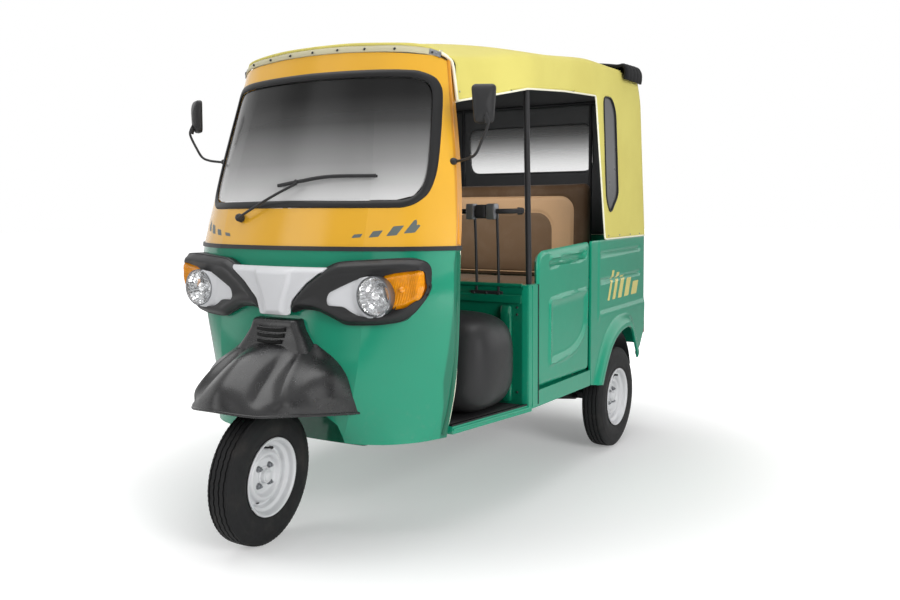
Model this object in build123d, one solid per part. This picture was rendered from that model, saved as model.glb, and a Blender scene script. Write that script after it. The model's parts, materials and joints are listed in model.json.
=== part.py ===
from build123d import *
import math
import os

os.makedirs("parts", exist_ok=True)

# An auto rickshaw, in millimetres.
# +Z is up, the front faces -Y, and the vehicle's left side is +X.
# The origin is on the ground under the middle of the whole vehicle.

# ---------------------------------------------------------------- driving dimensions

WHEELBASE = 1920
FRONT_AXLE_Y = -1075
REAR_AXLE_Y = FRONT_AXLE_Y + WHEELBASE
TRACK = 1305
TYRE_R = 259
TYRE_WIDTH = 112
RIM_R = 150
RIM_WIDTH = 108

STEER_RAKE = 24.0
STEER_TURN = 6.3
STEER_OFFSET = 30

SIDE_X = 690
SIDE_WALL = 26
FLARE_X = 717
POST_Y = -160
DOOR_FRONT_Y = -95
DOOR_REAR_Y = 492
DOOR_GAP = 6
REAR_Y = 1312

SILL_Z = 388
COWL_LOW_Z = 375
FLOOR_Z = 415
FLOOR_THICK = 22
BELT_Z = 1101
BELT_HALF = 8
BODY_TOP_Z = 1080
COWL_WALL = 22
CANOPY_WALL = 7


# ---------------------------------------------------------------- helpers

PARTS = {}


def keep(node, *solids):
    """Store the solids of one node and write them to its STEP file."""
    shape = solids[0] if len(solids) == 1 else Compound(children=list(solids))
    shape.label = node
    PARTS[node] = shape
    export_step(shape, f"parts/{node}.step")


def flip(shape):
    """The same shape on the vehicle's other side."""
    return mirror(shape, about=Plane.YZ)


def box(x0, x1, y0, y1, z0, z1):
    """A box between two corners."""
    size = Box(x1 - x0, y1 - y0, z1 - z0)
    return Pos((x0 + x1) / 2, (y0 + y1) / 2, (z0 + z1) / 2) * size


def along_x(points, x0, x1, radius=0):
    """A (y, z) outline carried from x0 to x1, its corners rounded."""
    face = make_face(Polyline(*points, close=True))
    if radius:
        face = fillet(face.vertices(), radius)
    return extrude(Plane.YZ.offset(x0) * face, x1 - x0)


def along_y(points, y0, y1, radius=0):
    """An (x, z) outline carried from y0 to y1, its corners rounded."""
    face = make_face(Polyline(*points, close=True))
    if radius:
        face = fillet(face.vertices(), radius)
    plane = Plane(origin=(0, y1, 0), x_dir=(1, 0, 0), z_dir=(0, -1, 0))
    return extrude(plane * face, y1 - y0)


def along_z(points, z0, z1, radius=0):
    """An (x, y) outline carried from z0 to z1, its corners rounded."""
    face = make_face(Polyline(*points, close=True))
    if radius:
        face = fillet(face.vertices(), radius)
    return extrude(Plane.XY.offset(z0) * face, z1 - z0)


def rod(start, end, radius, inner=0):
    """A straight round bar, or a tube when it has an inner radius."""
    start = Vector(*start)
    end = Vector(*end)
    plane = Plane(origin=start, z_dir=end - start)
    face = Circle(radius) - Circle(inner) if inner else Circle(radius)
    return extrude(plane * face, (end - start).length)


def bent_rod(points, radius):
    """Straight bars through the points, with a ball at each bend."""
    shape = rod(points[0], points[1], radius)
    for here, there in zip(points[1:], points[2:]):
        shape += Pos(*here) * Sphere(radius)
        shape += rod(here, there, radius)
    return shape


def turned(profile):
    """An (x, radius) outline turned about the X axis."""
    face = make_face(Polyline(*profile, close=True))
    return revolve(face, Axis.X, 360)


# ---------------------------------------------------------------- front shell surface

# Plan curves of the front shell at each height. The curve runs from the centre (apex) through a
# knee and a mid point to the corner, and then along the side to the edge, symmetric about X = 0.
# columns: z, apex_y, knee_x, knee_y, mid_x, mid_y, corner_x, corner_y, edge_x, edge_y
SHELL = [
    (375, -915, 255, -908, 410, -860, 525, -735, 560, -655),
    (600, -965, 330, -922, 470, -820, 598, -690, 604, -654),
    (850, -938, 350, -895, 505, -822, 627, -705, 631, -670),
    (1101, -925, 350, -884, 505, -812, 633, -700, 636, -666),
    (1450, -822, 330, -785, 480, -710, 585, -612, 580, -571),
    (1790, -721, 280, -690, 420, -632, 510, -543, 505, -500),
    (1870, -697, 268, -667, 406, -614, 492, -527, 487, -484),
    (2100, -630, 240, -612, 370, -560, 462, -480, 455, -440),
]


def shell_row(z):
    """The plan values at height z, straight between the rows of SHELL."""
    for low, high in zip(SHELL, SHELL[1:]):
        if z <= high[0]:
            share = (z - low[0]) / (high[0] - low[0])
            return [a + share * (b - a) for a, b in zip(low, high)]
    return list(SHELL[-1])


def shell_section(z, inset, back):
    """The closed plan face at height z, moved inwards by inset and open at the back by back."""
    _, apex, knee_x, knee_y, mid_x, mid_y, corner_x, corner_y, edge_x, edge_y = shell_row(z)
    apex += inset
    knee = (knee_x - 0.2 * inset, knee_y + inset)
    mid = (mid_x - 0.6 * inset, mid_y + 0.8 * inset)
    corner = (corner_x - inset, corner_y + 0.6 * inset)
    edge = (edge_x - inset, edge_y + back)
    left = [
        Line(edge, corner),
        ThreePointArc(corner, mid, knee),
    ]
    right = [
        ThreePointArc((-knee[0], knee[1]), (-mid[0], mid[1]), (-corner[0], corner[1])),
        Line((-corner[0], corner[1]), (-edge[0], edge[1])),
    ]
    front = ThreePointArc(knee, (0, apex), (-knee[0], knee[1]))
    rear = Line((-edge[0], edge[1]), edge)
    face = make_face(Curve() + left + [front] + right + [rear])
    return Plane.XY.offset(z) * face


def shell_solid(heights, inset, back=0):
    """A solid lofted through the plan faces at the given heights."""
    return loft([shell_section(z, inset, back) for z in heights])


def shell_wall(heights, outer=0, inner=COWL_WALL):
    """A wall of the front shell between two insets, open at its back."""
    return shell_solid(heights, outer) - shell_solid(heights, inner, 80)


LOWER_HEIGHTS = (COWL_LOW_Z, 600, 850, BELT_Z - BELT_HALF)
BELT_HEIGHTS = (BELT_Z - BELT_HALF, BELT_Z + BELT_HALF)
UPPER_HEIGHTS = (BELT_Z + BELT_HALF, 1450, 1790, 1870)
FRAME_HALF_X = 480
FRAME_SIDE_Z = 1817
FRAME_CROWN_Z = 1842


def frame_top_cutter():
    """What lies above the arched top edge of the windscreen frame."""
    arch = ThreePointArc((-FRAME_HALF_X, FRAME_SIDE_Z), (0, FRAME_CROWN_Z), (FRAME_HALF_X, FRAME_SIDE_Z))
    rest = Polyline((FRAME_HALF_X, FRAME_SIDE_Z), (540, 1776), (540, 2000), (-540, 2000), (-540, 1776),
                    (-FRAME_HALF_X, FRAME_SIDE_Z))
    plane = Plane(origin=(0, -300, 0), x_dir=(1, 0, 0), z_dir=(0, -1, 0))
    return extrude(plane * make_face(Curve() + [arch, rest]), 700)


# Half outline of the windscreen seal's outer edge. columns: x, z
SCREEN_OUTLINE = [
    (440, 1250), (505, 1268), (540, 1330), (545, 1400), (519, 1661), (507, 1705), (480, 1738), (420, 1759),
    (200, 1768),
]


def screen_opening(margin):
    """The windscreen's outline, smaller all round by margin, carried through the shell."""
    half = SCREEN_OUTLINE
    face = make_face(Polyline(*half, *[(-x, z) for x, z in reversed(half)], close=True))
    face = fillet(face.vertices(), 25)
    if margin:
        face = offset(face, -margin)
    plane = Plane(origin=(0, -548, 0), x_dir=(1, 0, 0), z_dir=(0, -1, 0))
    return extrude(plane * face, 700)


def wheel_opening():
    """The arch cut in the lower front shell for the front wheel."""
    half = [(275, 350), (250, 444), (208, 477), (178, 518), (165, 610)]
    return along_y(half + [(-x, z) for x, z in reversed(half)], -1250, -850)


def make_front_shell():
    lower = shell_wall(LOWER_HEIGHTS) - wheel_opening()
    keep("front_cowl", lower)
    keep("belt_strip", shell_wall(BELT_HEIGHTS, -6, COWL_WALL))
    upper = shell_wall(UPPER_HEIGHTS) - frame_top_cutter()
    keep("windscreen_frame", upper - screen_opening(0))
    band = shell_wall(UPPER_HEIGHTS, -6, 20) - frame_top_cutter()
    keep("windscreen_seal", (band & screen_opening(0)) - screen_opening(28))
    glass = shell_wall(UPPER_HEIGHTS, 6, 12)
    keep("windscreen", glass & screen_opening(28))


# ---------------------------------------------------------------- lamps, mask and grille panel

MASK_FACE_R = 1530
MASK_APEX_Y = -968
# columns: x, z (left side of the mask, clockwise from the grille panel's top corner)
MASK_OUTLINE = [
    (225, 1033), (275, 1052), (527, 1067), (590, 1060), (610, 1035), (609, 985), (597, 930),
    (550, 870), (505, 840), (421, 830), (305, 827), (235, 858), (190, 878), (115, 880),
    (66, 856), (76, 912), (142, 980),
]
PANEL_OUTLINE = [(225, 1033), (142, 980), (76, 912), (60, 853)]
LAMP_X = 425
LAMP_Z = 932
LAMP_R = 74
INDICATOR_OUTLINE = [(440, 1005), (493, 1016), (586, 1028), (588, 985), (571, 942), (525, 906), (470, 890)]


def face_slab(front, back):
    """A curved slab in the mask's front curve, between two distances behind its face."""
    outer = Cylinder(MASK_FACE_R - front, 400)
    inner = Cylinder(MASK_FACE_R - back, 420)
    return Pos(0, MASK_APEX_Y + MASK_FACE_R, 950) * (outer - inner)


def behind_face(points, front, back):
    """An (x, z) outline cut out of the curved slab, on the front side only."""
    return face_slab(front, back) & along_y(points, -1100, -600)


def make_face_pieces():
    cowl_core = shell_solid(LOWER_HEIGHTS, 0)
    lamp_hole = rod((LAMP_X, -1100, LAMP_Z), (LAMP_X, -600, LAMP_Z), LAMP_R + 2)
    outer_plan = [(618, -900), (608, -850), (558, -768), (520, -700), (760, -700), (760, -900)]
    outer_trim = along_z(outer_plan, 780, 1100)
    mask_left = behind_face(MASK_OUTLINE, 0, 150) - cowl_core - lamp_hole
    blinker_hole = behind_face(INDICATOR_OUTLINE, -20, 60)
    blinker = behind_face(INDICATOR_OUTLINE, -4, 59) - cowl_core - lamp_hole - outer_trim
    mask_left = mask_left - blinker_hole - outer_trim
    mask_left = mask_left.solids().sort_by(SortBy.VOLUME)[-1]
    keep("lamp_mask", mask_left, flip(mask_left))
    keep("indicators", blinker, flip(blinker))
    lamp = rod((LAMP_X, -922, LAMP_Z), (LAMP_X, -600, LAMP_Z), LAMP_R) - cowl_core
    lamp = lamp.solids().sort_by(Axis.Y)[0]
    lens_ball = Pos(LAMP_X, -922 + 150, LAMP_Z) * Sphere(168)
    lamp = lamp + (rod((LAMP_X, -945, LAMP_Z), (LAMP_X, -915, LAMP_Z), LAMP_R) & lens_ball)
    keep("headlamps", lamp, flip(lamp))
    mirrored = [(-x, z) for x, z in reversed(PANEL_OUTLINE)]
    panel = behind_face(PANEL_OUTLINE + mirrored, -16, 150) - cowl_core
    keep("grille_panel", panel)


# ---------------------------------------------------------------- front mudguard

# Half outlines of the mudguard's outer skin, across the vehicle, from front to back.
# columns: y, top_x, top_z, shoulder_x, shoulder_z, rim_x, rim_z
GUARD = [
    (-1300, 60, 560, 110, 556, 140, 535),
    (-1200, 95, 655, 150, 628, 205, 527),
    (-1075, 110, 715, 200, 672, 265, 512),
    (-985, 120, 745, 240, 705, 320, 500),
]
NECK = [(-126, 690), (-126, 826), (-110, 836), (110, 836), (126, 826), (126, 690)]


def guard_section(row, inset):
    """One cross outline of the mudguard, moved inwards by inset."""
    y, top_x, top_z, shoulder_x, shoulder_z, rim_x, rim_z = row
    half = [(top_x - inset / 2, top_z - inset), (shoulder_x - inset, shoulder_z - inset),
            (rim_x - inset, rim_z - 4 * inset / 6)]
    points = [(-x, z) for x, z in reversed(half)] + half
    plane = Plane(origin=(0, y, 0), x_dir=(1, 0, 0), z_dir=(0, -1, 0))
    return plane * make_face(Polyline(*points, close=True))


def make_mudguard():
    core = shell_solid(LOWER_HEIGHTS, 0)
    skin = loft([guard_section(row, 0) for row in GUARD], ruled=True)
    back = [(y, *rest) for y, *rest in GUARD]
    back[0] = (-1290, *back[0][1:])
    back.append((-900, 122, 760, 250, 720, 345, 492))
    outer = loft([guard_section(row, 0) for row in GUARD + [back[-1]]], ruled=True)
    inner = loft([guard_section(row, 7) for row in back], ruled=True)
    under = box(-400, 400, -1400, -850, 400, 500)
    neck = along_y(NECK, -1000, -880)
    neck_cut = along_y([(-118, 600), (-118, 820), (118, 820), (118, 600)], -990, -880)
    guard = outer + neck - inner - neck_cut - core - under
    slots = box(-62, 62, -1020, -960, 793, 799) + box(-62, 55, -1020, -960, 777, 783)
    slots += box(-58, 45, -1020, -960, 761, 767)
    guard = guard - slots
    keep("front_mudguard", guard.solids().sort_by(SortBy.VOLUME)[-1])


# ---------------------------------------------------------------- wheels

def tyre_solid():
    """A tyre about the X axis, its bead on the rim and its crown gently round."""
    half = TYRE_WIDTH / 2
    bead = RIM_WIDTH / 2 - 10
    profile = [
        (-bead, RIM_R - 20.5), (-bead, RIM_R + 3), (-half, 205), (-half + 6, 235), (-half + 16, 250),
        (-half + 34, TYRE_R - 2), (-14, TYRE_R), (14, TYRE_R), (half - 34, TYRE_R - 2), (half - 16, 250),
        (half - 6, 235), (half, 205), (bead, RIM_R + 3), (bead, RIM_R - 20.5),
    ]
    return turned(profile)


def rim_solid():
    """A pressed rim about the X axis: a well with two flanges and a dished disc, hub on +X."""
    half = RIM_WIDTH / 2
    well = turned([
        (-half, RIM_R), (-half, RIM_R - 14), (-half + 14, RIM_R - 26), (-20, 112), (20, 112),
        (half - 14, RIM_R - 26), (half, RIM_R - 14), (half, RIM_R),
        (half - 5, RIM_R), (half - 5, RIM_R - 12), (half - 9, RIM_R - 21), (half - 22, RIM_R - 21),
        (20, 118), (-20, 118), (-half + 22, RIM_R - 21), (-half + 9, RIM_R - 21), (-half + 5, RIM_R - 12),
        (-half + 5, RIM_R),
    ])
    dish = [(6, 30), (6, 62), (24, 80), (24, 96), (8, 112), (2, 112), (16, 94), (16, 82), (-2, 64), (-2, 30)]
    disc = turned(dish)
    rim = well + disc
    for turn in range(4):
        angle = math.radians(45 + 90 * turn)
        y = 46 * math.cos(angle)
        z = 46 * math.sin(angle)
        rim += rod((-2, y, z), (18, y, z), 9)
    hub = turned([(-6, 0), (-6, 34), (10, 34), (26, 24), (26, 0)])
    return rim + hub


def steer(shape):
    """Turn a straight-ahead front piece about the steering axis to its parked angle."""
    return shape.rotate(STEER_AXIS, STEER_TURN)


STEER_FOOT = Vector(0, FRONT_AXLE_Y + STEER_OFFSET, TYRE_R)
STEER_DIR = Vector(0, math.sin(math.radians(STEER_RAKE)), math.cos(math.radians(STEER_RAKE)))
STEER_AXIS = Axis(STEER_FOOT, STEER_DIR)


def on_steer_axis(z):
    """The point of the steering axis at height z."""
    return STEER_FOOT + STEER_DIR * ((z - STEER_FOOT.Z) / STEER_DIR.Z)


def make_wheels():
    tyre = tyre_solid()
    rim = rim_solid()
    front = Pos(0, FRONT_AXLE_Y, TYRE_R)
    keep("front_tyre", steer(front * tyre))
    keep("front_rim", steer(front * rim))
    left = Pos(TRACK / 2, REAR_AXLE_Y, TYRE_R)
    keep("rear_tyre_left", left * tyre)
    keep("rear_rim_left", left * rim)
    keep("rear_tyre_right", flip(left * tyre))
    keep("rear_rim_right", flip(left * rim))


# ---------------------------------------------------------------- steering

LEG_X = -118


def make_steering():
    foot = on_steer_axis(548)
    head = on_steer_axis(985)
    column = rod(foot, head, 24)
    crown_y = foot.Y
    leg = bent_rod([(0, crown_y, 552), (-60, crown_y + 4, 545), (LEG_X, crown_y + 10, 500),
                    (LEG_X, crown_y + 5, 330)], 21)
    link = along_x([(crown_y - 20, 300), (crown_y + 30, 310), (crown_y + 30, 350), (crown_y - 20, 350),
                    (FRONT_AXLE_Y - 28, 285), (FRONT_AXLE_Y - 28, 232), (FRONT_AXLE_Y + 20, 232)],
                   LEG_X - 12, LEG_X + 12)
    fork = column + leg + link
    drum = rod((LEG_X + 12.5, FRONT_AXLE_Y, TYRE_R), (-8, FRONT_AXLE_Y, TYRE_R), 84)
    axle = rod((LEG_X - 34, FRONT_AXLE_Y, TYRE_R), (LEG_X - 12.5, FRONT_AXLE_Y, TYRE_R), 12)
    keep("front_fork", steer(fork))
    keep("front_brake_drum", steer(drum), steer(axle))
    spring = rod((LEG_X - 36, FRONT_AXLE_Y + 22, 285), (LEG_X - 36, crown_y - 14, 472), 20)
    keep("front_shock", steer(spring))
    grip_y = head.Y + 60
    bar_line = [(-300, grip_y, 1020), (-120, head.Y, 1012), (120, head.Y, 1012), (300, grip_y, 1020)]
    bar = bent_rod(bar_line, 13)
    pod_plan = [(-85, head.Y - 55), (85, head.Y - 55), (70, head.Y + 40), (-70, head.Y + 40)]
    pod = along_z(pod_plan, 1000, 1075, 12)
    stem = rod(head, on_steer_axis(1012), 24)
    keep("handlebar", steer(bar + pod + stem))


# ---------------------------------------------------------------- floor and frame

RAIL_X = 280


def make_sill():
    """The left edge strip of the cab floor."""
    plan = [(560, -650), (584, -650), (SIDE_X - 4, POST_Y), (SIDE_X - 26, POST_Y)]
    return along_z(plan, SILL_Z, FLOOR_Z + 3)


def make_floor():
    toe_slab = box(-700, 700, -1100, -660, FLOOR_Z - FLOOR_THICK, FLOOR_Z)
    toe = shell_solid(LOWER_HEIGHTS, COWL_WALL + 0.5, 80) & toe_slab
    cab = along_z([(-512, -661), (512, -661), (514, -652), (-514, -652)], FLOOR_Z - FLOOR_THICK, FLOOR_Z)
    cab += along_z([(-557, -652), (557, -652), (SIDE_X - 28, POST_Y), (-SIDE_X + 28, POST_Y)],
                  FLOOR_Z - FLOOR_THICK, FLOOR_Z)
    well_hole = box(-262.5, 262.5, -1200, -639.5, 300, 500)
    rear = box(-SIDE_X + SIDE_WALL, SIDE_X - SIDE_WALL, POST_Y, 500, FLOOR_Z - FLOOR_THICK, FLOOR_Z)
    floor = toe + cab + rear - well_hole
    keep("floor_pan", floor)
    frame = box(-RAIL_X - 22, -RAIL_X + 22, -690, 1230, 330, FLOOR_Z - FLOOR_THICK)
    frame += box(RAIL_X - 22, RAIL_X + 22, -690, 1230, 330, FLOOR_Z - FLOOR_THICK)
    for y in (-600, POST_Y - 20, 440, 1200):
        frame += box(-RAIL_X, RAIL_X, y - 20, y + 20, 342, 385)
    keep("underframe", frame)


def make_wheel_well():
    outer = box(-262, 262, -960, -640, SILL_Z + 7, 625)
    inner = box(-254, 254, -1000, -648, 300, 617)
    core = shell_solid(LOWER_HEIGHTS, COWL_WALL + 0.5)
    stock = rod(on_steer_axis(605), on_steer_axis(900), 38)
    bore = rod(on_steer_axis(560), on_steer_axis(950), 30)
    mouth = rod(on_steer_axis(560), on_steer_axis(612), 46)
    keep("wheel_well", (((outer - inner) & core) + stock) - bore - mouth)


# ---------------------------------------------------------------- sides, doors, partition

ARCH_Y = 862
ARCH_Z = 315
ARCH_R = 292
FLARE_R = 380
PLATE_HOLE_X = 75
PLATE_HOLE_Z = 640
PLATE_HOLE_R = 3.5


def arch_cutter(radius, x0, x1):
    return rod((x0, ARCH_Y, ARCH_Z), (x1, ARCH_Y, ARCH_Z), radius)


def make_sides():
    inner_x = SIDE_X - SIDE_WALL
    door = along_x([(DOOR_FRONT_Y, 476), (DOOR_REAR_Y, 464), (DOOR_REAR_Y, 1078), (DOOR_FRONT_Y, 1056)],
                   inner_x, SIDE_X)
    door = fillet(door.edges().filter_by(Axis.X), 45)
    slot = along_x([(15, 984), (440, 1000), (440, 1040), (15, 1020)], SIDE_X - 12, SIDE_X + 5, 10)
    door = door - slot
    keep("door_left", door)
    keep("door_right", flip(door))
    frame = along_x([(POST_Y, 400), (DOOR_REAR_Y, 380), (DOOR_REAR_Y, 456), (DOOR_FRONT_Y - DOOR_GAP, 468),
                     (DOOR_FRONT_Y - DOOR_GAP, 921), (POST_Y, 921)], inner_x, SIDE_X)
    frame += make_sill()
    keep("side_frame_left", frame)
    keep("side_frame_right", flip(frame))
    quarter = along_x([(DOOR_REAR_Y + DOOR_GAP, 380), (640, 366), (640, 420), (1130, 440), (1260, 478),
                       (REAR_Y, 560), (REAR_Y - 6, BODY_TOP_Z), (DOOR_REAR_Y + DOOR_GAP, BODY_TOP_Z)],
                      inner_x, SIDE_X)
    flare = arch_cutter(FLARE_R, SIDE_X, FLARE_X) - box(600, 800, 300, 1400, -200, 366)
    tip = box(600, 800, 1000, 1400, 300, 420)
    quarter = (quarter + flare - tip) - arch_cutter(ARCH_R, 600, 800)
    keep("quarter_panel_left", quarter)
    keep("quarter_panel_right", flip(quarter))
    housing = arch_cutter(ARCH_R + 8, 530, inner_x) - arch_cutter(ARCH_R, 538, 700)
    housing = housing - box(500, 700, 500, 1300, 0, 380)
    keep("wheel_housings", housing, flip(housing))
    rear = box(-SIDE_X + SIDE_WALL, SIDE_X - SIDE_WALL, REAR_Y - 26, REAR_Y, 478, BODY_TOP_Z)
    for x in (-PLATE_HOLE_X, PLATE_HOLE_X):
        rear = rear - rod((x, REAR_Y - 30, PLATE_HOLE_Z), (x, REAR_Y + 5, PLATE_HOLE_Z), PLATE_HOLE_R)
    keep("rear_panel", rear)
    wall = box(-SIDE_X + 30, SIDE_X - 30, POST_Y - 30, POST_Y - 8, FLOOR_Z, 922)
    keep("partition", wall - make_sill() - flip(make_sill()))


# ---------------------------------------------------------------- canopy

# Half outlines of the canopy across the vehicle, from front to back.
# columns: y, low_x, shoulder_x, shoulder_z, crown_z
CANOPY = [
    (-760, 620, 500, 1822, 1866),
    (-500, 640, 510, 1820, 1902),
    (-380, 668, 582, 1828, 1928),
    (-160, 697, 668, 1866, 1958),
    (500, 702, 680, 1925, 1982),
    (1340, 702, 684, 1925, 1975),
]
# Opening above the doors and the driver's entry. columns: y, z
SIDE_OPENING = [(-900, 900), (-900, 1600), (-566, 1640), (-165, 1725), (550, 1768), (650, 1072), (650, 900)]
QUARTER_WINDOW = [(650, 1768), (672, 1280), (725, 1207), (838, 1300), (812, 1715), (760, 1776), (690, 1776)]
REAR_WINDOW_X = 395
REAR_WINDOW_Z = (1440, 1705)


def canopy_section(row, inset):
    y, low_x, shoulder_x, shoulder_z, crown_z = row
    low_x -= inset
    shoulder = (shoulder_x - inset, shoulder_z - 0.6 * inset)
    crown = (0, crown_z - inset)
    curve = [
        Line((-low_x, 1000), (low_x, 1000)),
        Line((low_x, 1000), shoulder),
        ThreePointArc(shoulder, crown, (-shoulder[0], shoulder[1])),
        Line((-shoulder[0], shoulder[1]), (-low_x, 1000)),
    ]
    plane = Plane(origin=(0, y, 0), x_dir=(-1, 0, 0), z_dir=(0, 1, 0))
    return plane * make_face(Curve() + curve)


def canopy_solid(inset):
    """The filled canopy: its cross outlines, trimmed to the side and plan outlines."""
    body = loft([canopy_section(row, inset) for row in CANOPY], ruled=True)
    side = along_x([(-900, 900), (1308 - inset, 900), (1300 - inset, 1100), (1238 - inset, 1800),
                    (1170 - inset, 1925 - inset), (950, 2050), (-900, 2050)], -800, 800)
    side = fillet(side.edges().filter_by(Axis.X).sort_by(Axis.Y)[-3:], 60)
    plan = along_z([(-760, -900), (760, -900), (760, 700), (705 - inset, 700), (705 - inset, 1330 - inset),
                    (-705 + inset, 1330 - inset), (-705 + inset, 700), (-760, 700)], 900, 2100)
    return body & side & plan


def make_canopy():
    half = box(0, 900, -800, 1400, 950, 2100)
    outer = canopy_solid(0) & half
    shell = outer - canopy_solid(CANOPY_WALL)
    opening = along_x(SIDE_OPENING, -900, 900)
    below = box(-900, 900, -900, 1400, 900, BODY_TOP_Z + 4)
    screen_side = [(-900, 1000), (-658, 1000), (-569, 1450), (-498, 1790), (-491, 1824), (-900, 1824)]
    screen = along_x(screen_side, -900, 900)
    ahead = box(-900, 900, -1000, -492, 1700, 2100) - shell_solid((1790, 2100), -4, 300)
    quarter_window = along_x(QUARTER_WINDOW, 600, 900, 14)
    z0, z1 = REAR_WINDOW_Z
    corners = [(-REAR_WINDOW_X, z0), (REAR_WINDOW_X, z0), (REAR_WINDOW_X, z1), (-REAR_WINDOW_X, z1)]
    rear_window = along_y(corners, 1100, 1400, 50)
    shell = shell - opening - below - screen - ahead - quarter_window - rear_window
    shell = shell.solids().sort_by(SortBy.VOLUME)[-1]
    keep("canopy", shell + flip(shell))
    pane = (canopy_solid(2) & quarter_window) - canopy_solid(5)
    side_pane = pane.solids()[0]
    keep("quarter_windows", side_pane, flip(side_pane))
    rear_pane = (canopy_solid(2) & rear_window) - canopy_solid(5)
    keep("rear_window", rear_pane.solids()[0])


def make_hood_frame():
    pillars = []
    for side in (1, -1):
        x = side * 662
        pillars.append(rod((x, POST_Y + 20, 923), (x * 0.978, POST_Y + 20, 1800), 12.5))
    back = rod((-600, 1195, 1812), (600, 1195, 1812), 10)
    for x in (-405, 405):
        back += rod((x, 1195, BODY_TOP_Z - 364), (x, 1195, 1812), 10)
    keep("hood_frame", back, *pillars)


def make_seats():
    base = box(-630, 630, -560, POST_Y - 32, FLOOR_Z, 800)
    base = fillet(base.edges().filter_by(Axis.X).group_by(Axis.Z)[-1], 90)
    keep("driver_seat_base", base - make_sill() - flip(make_sill()))
    cushion = box(-270, 270, -545, -260, 801, 875)
    keep("driver_cushion", fillet(cushion.edges().filter_by(Axis.Z), 60))
    rest = box(-220, 220, -270, -212, 980, 1290) + rod((-630, -205, 1230), (630, -205, 1230), 12)
    for x in (-545, -440, 440, 545):
        rest += rod((x, -188, 870), (x, -205, 1230), 7)
    keep("driver_backrest", rest - box(-700, 700, POST_Y - 30, POST_Y, 800, 922))
    front = box(-620, 620, 430, 450, FLOOR_Z, 700)
    top = box(-528, 528, 430, REAR_Y - 28, 700, 716)
    keep("seat_box", front + top)
    keep("passenger_cushion", box(-600, 600, 432, 900, 717, 865))
    back = along_x([(905, 866), (985, 866), (1010, 1385), (930, 1385)], -520, 520)
    keep("passenger_backrest", back)


def make_drivetrain():
    keep("engine_block", box(-225, 225, 560, 1060, 270, 640))
    arm = along_x([(455, 300), (455, 345), (REAR_AXLE_Y + 40, 290), (REAR_AXLE_Y + 40, 230),
                   (REAR_AXLE_Y - 40, 230)], 425, 485)
    arm += rod((485, REAR_AXLE_Y, TYRE_R), (561, REAR_AXLE_Y, TYRE_R), 30)
    arm += rod((560, REAR_AXLE_Y, TYRE_R), (636, REAR_AXLE_Y, TYRE_R), 84)
    shaft = rod((232, REAR_AXLE_Y, TYRE_R + 60), (418, REAR_AXLE_Y, TYRE_R + 14), 14)
    shock = rod((455, REAR_AXLE_Y - 30, 330), (440, REAR_AXLE_Y - 60, 690), 28)
    keep("rear_arms", arm, flip(arm))
    keep("drive_shafts", shaft, flip(shaft))
    keep("rear_shocks", shock, flip(shock))
    keep("silencer", rod((-235, 1130, 278), (235, 1130, 278), 60))


def make_fittings():
    lamp = box(618, 688, REAR_Y + 0.5, 1334, 530, 610)
    keep("tail_lamps", lamp, flip(lamp))
    arm = bent_rod([(580, -622, 1418), (690, -652, 1440), (754, -666, 1541), (733, -650, 1562)], 6)
    head = along_y([(-38, -70), (38, -70), (45, 72), (-45, 72)], -13, 13, 14)
    head = Pos(723, -644, 1618) * Rot(0, 0, 30) * head
    piece = arm + head - shell_solid((1300, 1450, 1600), -1)
    piece = piece.solids().sort_by(SortBy.VOLUME)[-1]
    keep("mirrors", piece, flip(piece))
    blade = bent_rod([(-50, -874, 1337), (160, -880, 1358), (363, -835, 1366)], 5)
    wiper = bent_rod([(-243, -880, 1221), (-243, -905, 1221), (58, -885, 1349)], 6) + blade
    wiper = wiper - shell_solid((1109, 1300, 1450), 0)
    keep("wiper", wiper.solids().sort_by(SortBy.VOLUME)[-1])
    roll = rod((-640, 1120, 1925), (640, 1120, 1925), 58) - canopy_solid(-1)
    keep("curtain_roll", roll.solids().sort_by(SortBy.VOLUME)[-1])


make_front_shell()
make_face_pieces()
make_mudguard()
make_wheels()
make_steering()
make_floor()
make_wheel_well()
make_sides()
make_canopy()
make_hood_frame()
make_seats()
make_drivetrain()
make_fittings()
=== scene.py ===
# %% [markdown]
# # Dressing an auto rickshaw
# The solid model of this three-wheeler comes from a CAD program. It is exact, but it is plain: one
# colour a part, flat panels and no cloth. This notebook loads it and gives it what a picture needs:
# a camera, soft light, real finishes, and the soft or pressed shapes that CAD leaves plain. The
# model stands on z = 0 with its nose towards -Y and its left side towards +X, in metres.

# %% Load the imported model
import json
import math
import bpy
import bmesh
import numpy as np
from mathutils import Matrix, Vector


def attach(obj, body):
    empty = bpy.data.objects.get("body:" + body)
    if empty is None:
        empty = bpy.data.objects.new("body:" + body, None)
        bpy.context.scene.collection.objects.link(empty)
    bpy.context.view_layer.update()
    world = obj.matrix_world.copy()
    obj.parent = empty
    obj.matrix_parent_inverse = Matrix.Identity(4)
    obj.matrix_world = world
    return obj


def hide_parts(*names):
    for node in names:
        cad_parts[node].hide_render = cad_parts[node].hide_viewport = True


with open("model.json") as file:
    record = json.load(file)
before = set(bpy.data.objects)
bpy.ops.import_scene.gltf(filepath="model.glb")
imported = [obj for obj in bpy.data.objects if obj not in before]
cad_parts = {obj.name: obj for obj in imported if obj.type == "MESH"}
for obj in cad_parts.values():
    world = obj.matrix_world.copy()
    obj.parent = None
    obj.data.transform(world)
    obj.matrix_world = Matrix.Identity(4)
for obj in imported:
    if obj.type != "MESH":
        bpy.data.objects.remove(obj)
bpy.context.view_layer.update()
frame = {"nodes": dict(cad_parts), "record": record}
nodes = frame["nodes"]

# %% [markdown]
# ## Camera
# The camera stands in front of the vehicle, to its left, at about the height of a person's chest.
# Its direction is worked out from a yaw and a pitch, and rolled by half a degree. Writing the three
# axes out as a matrix is the surest way to place a camera, because no Euler order has to be
# guessed.

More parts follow.
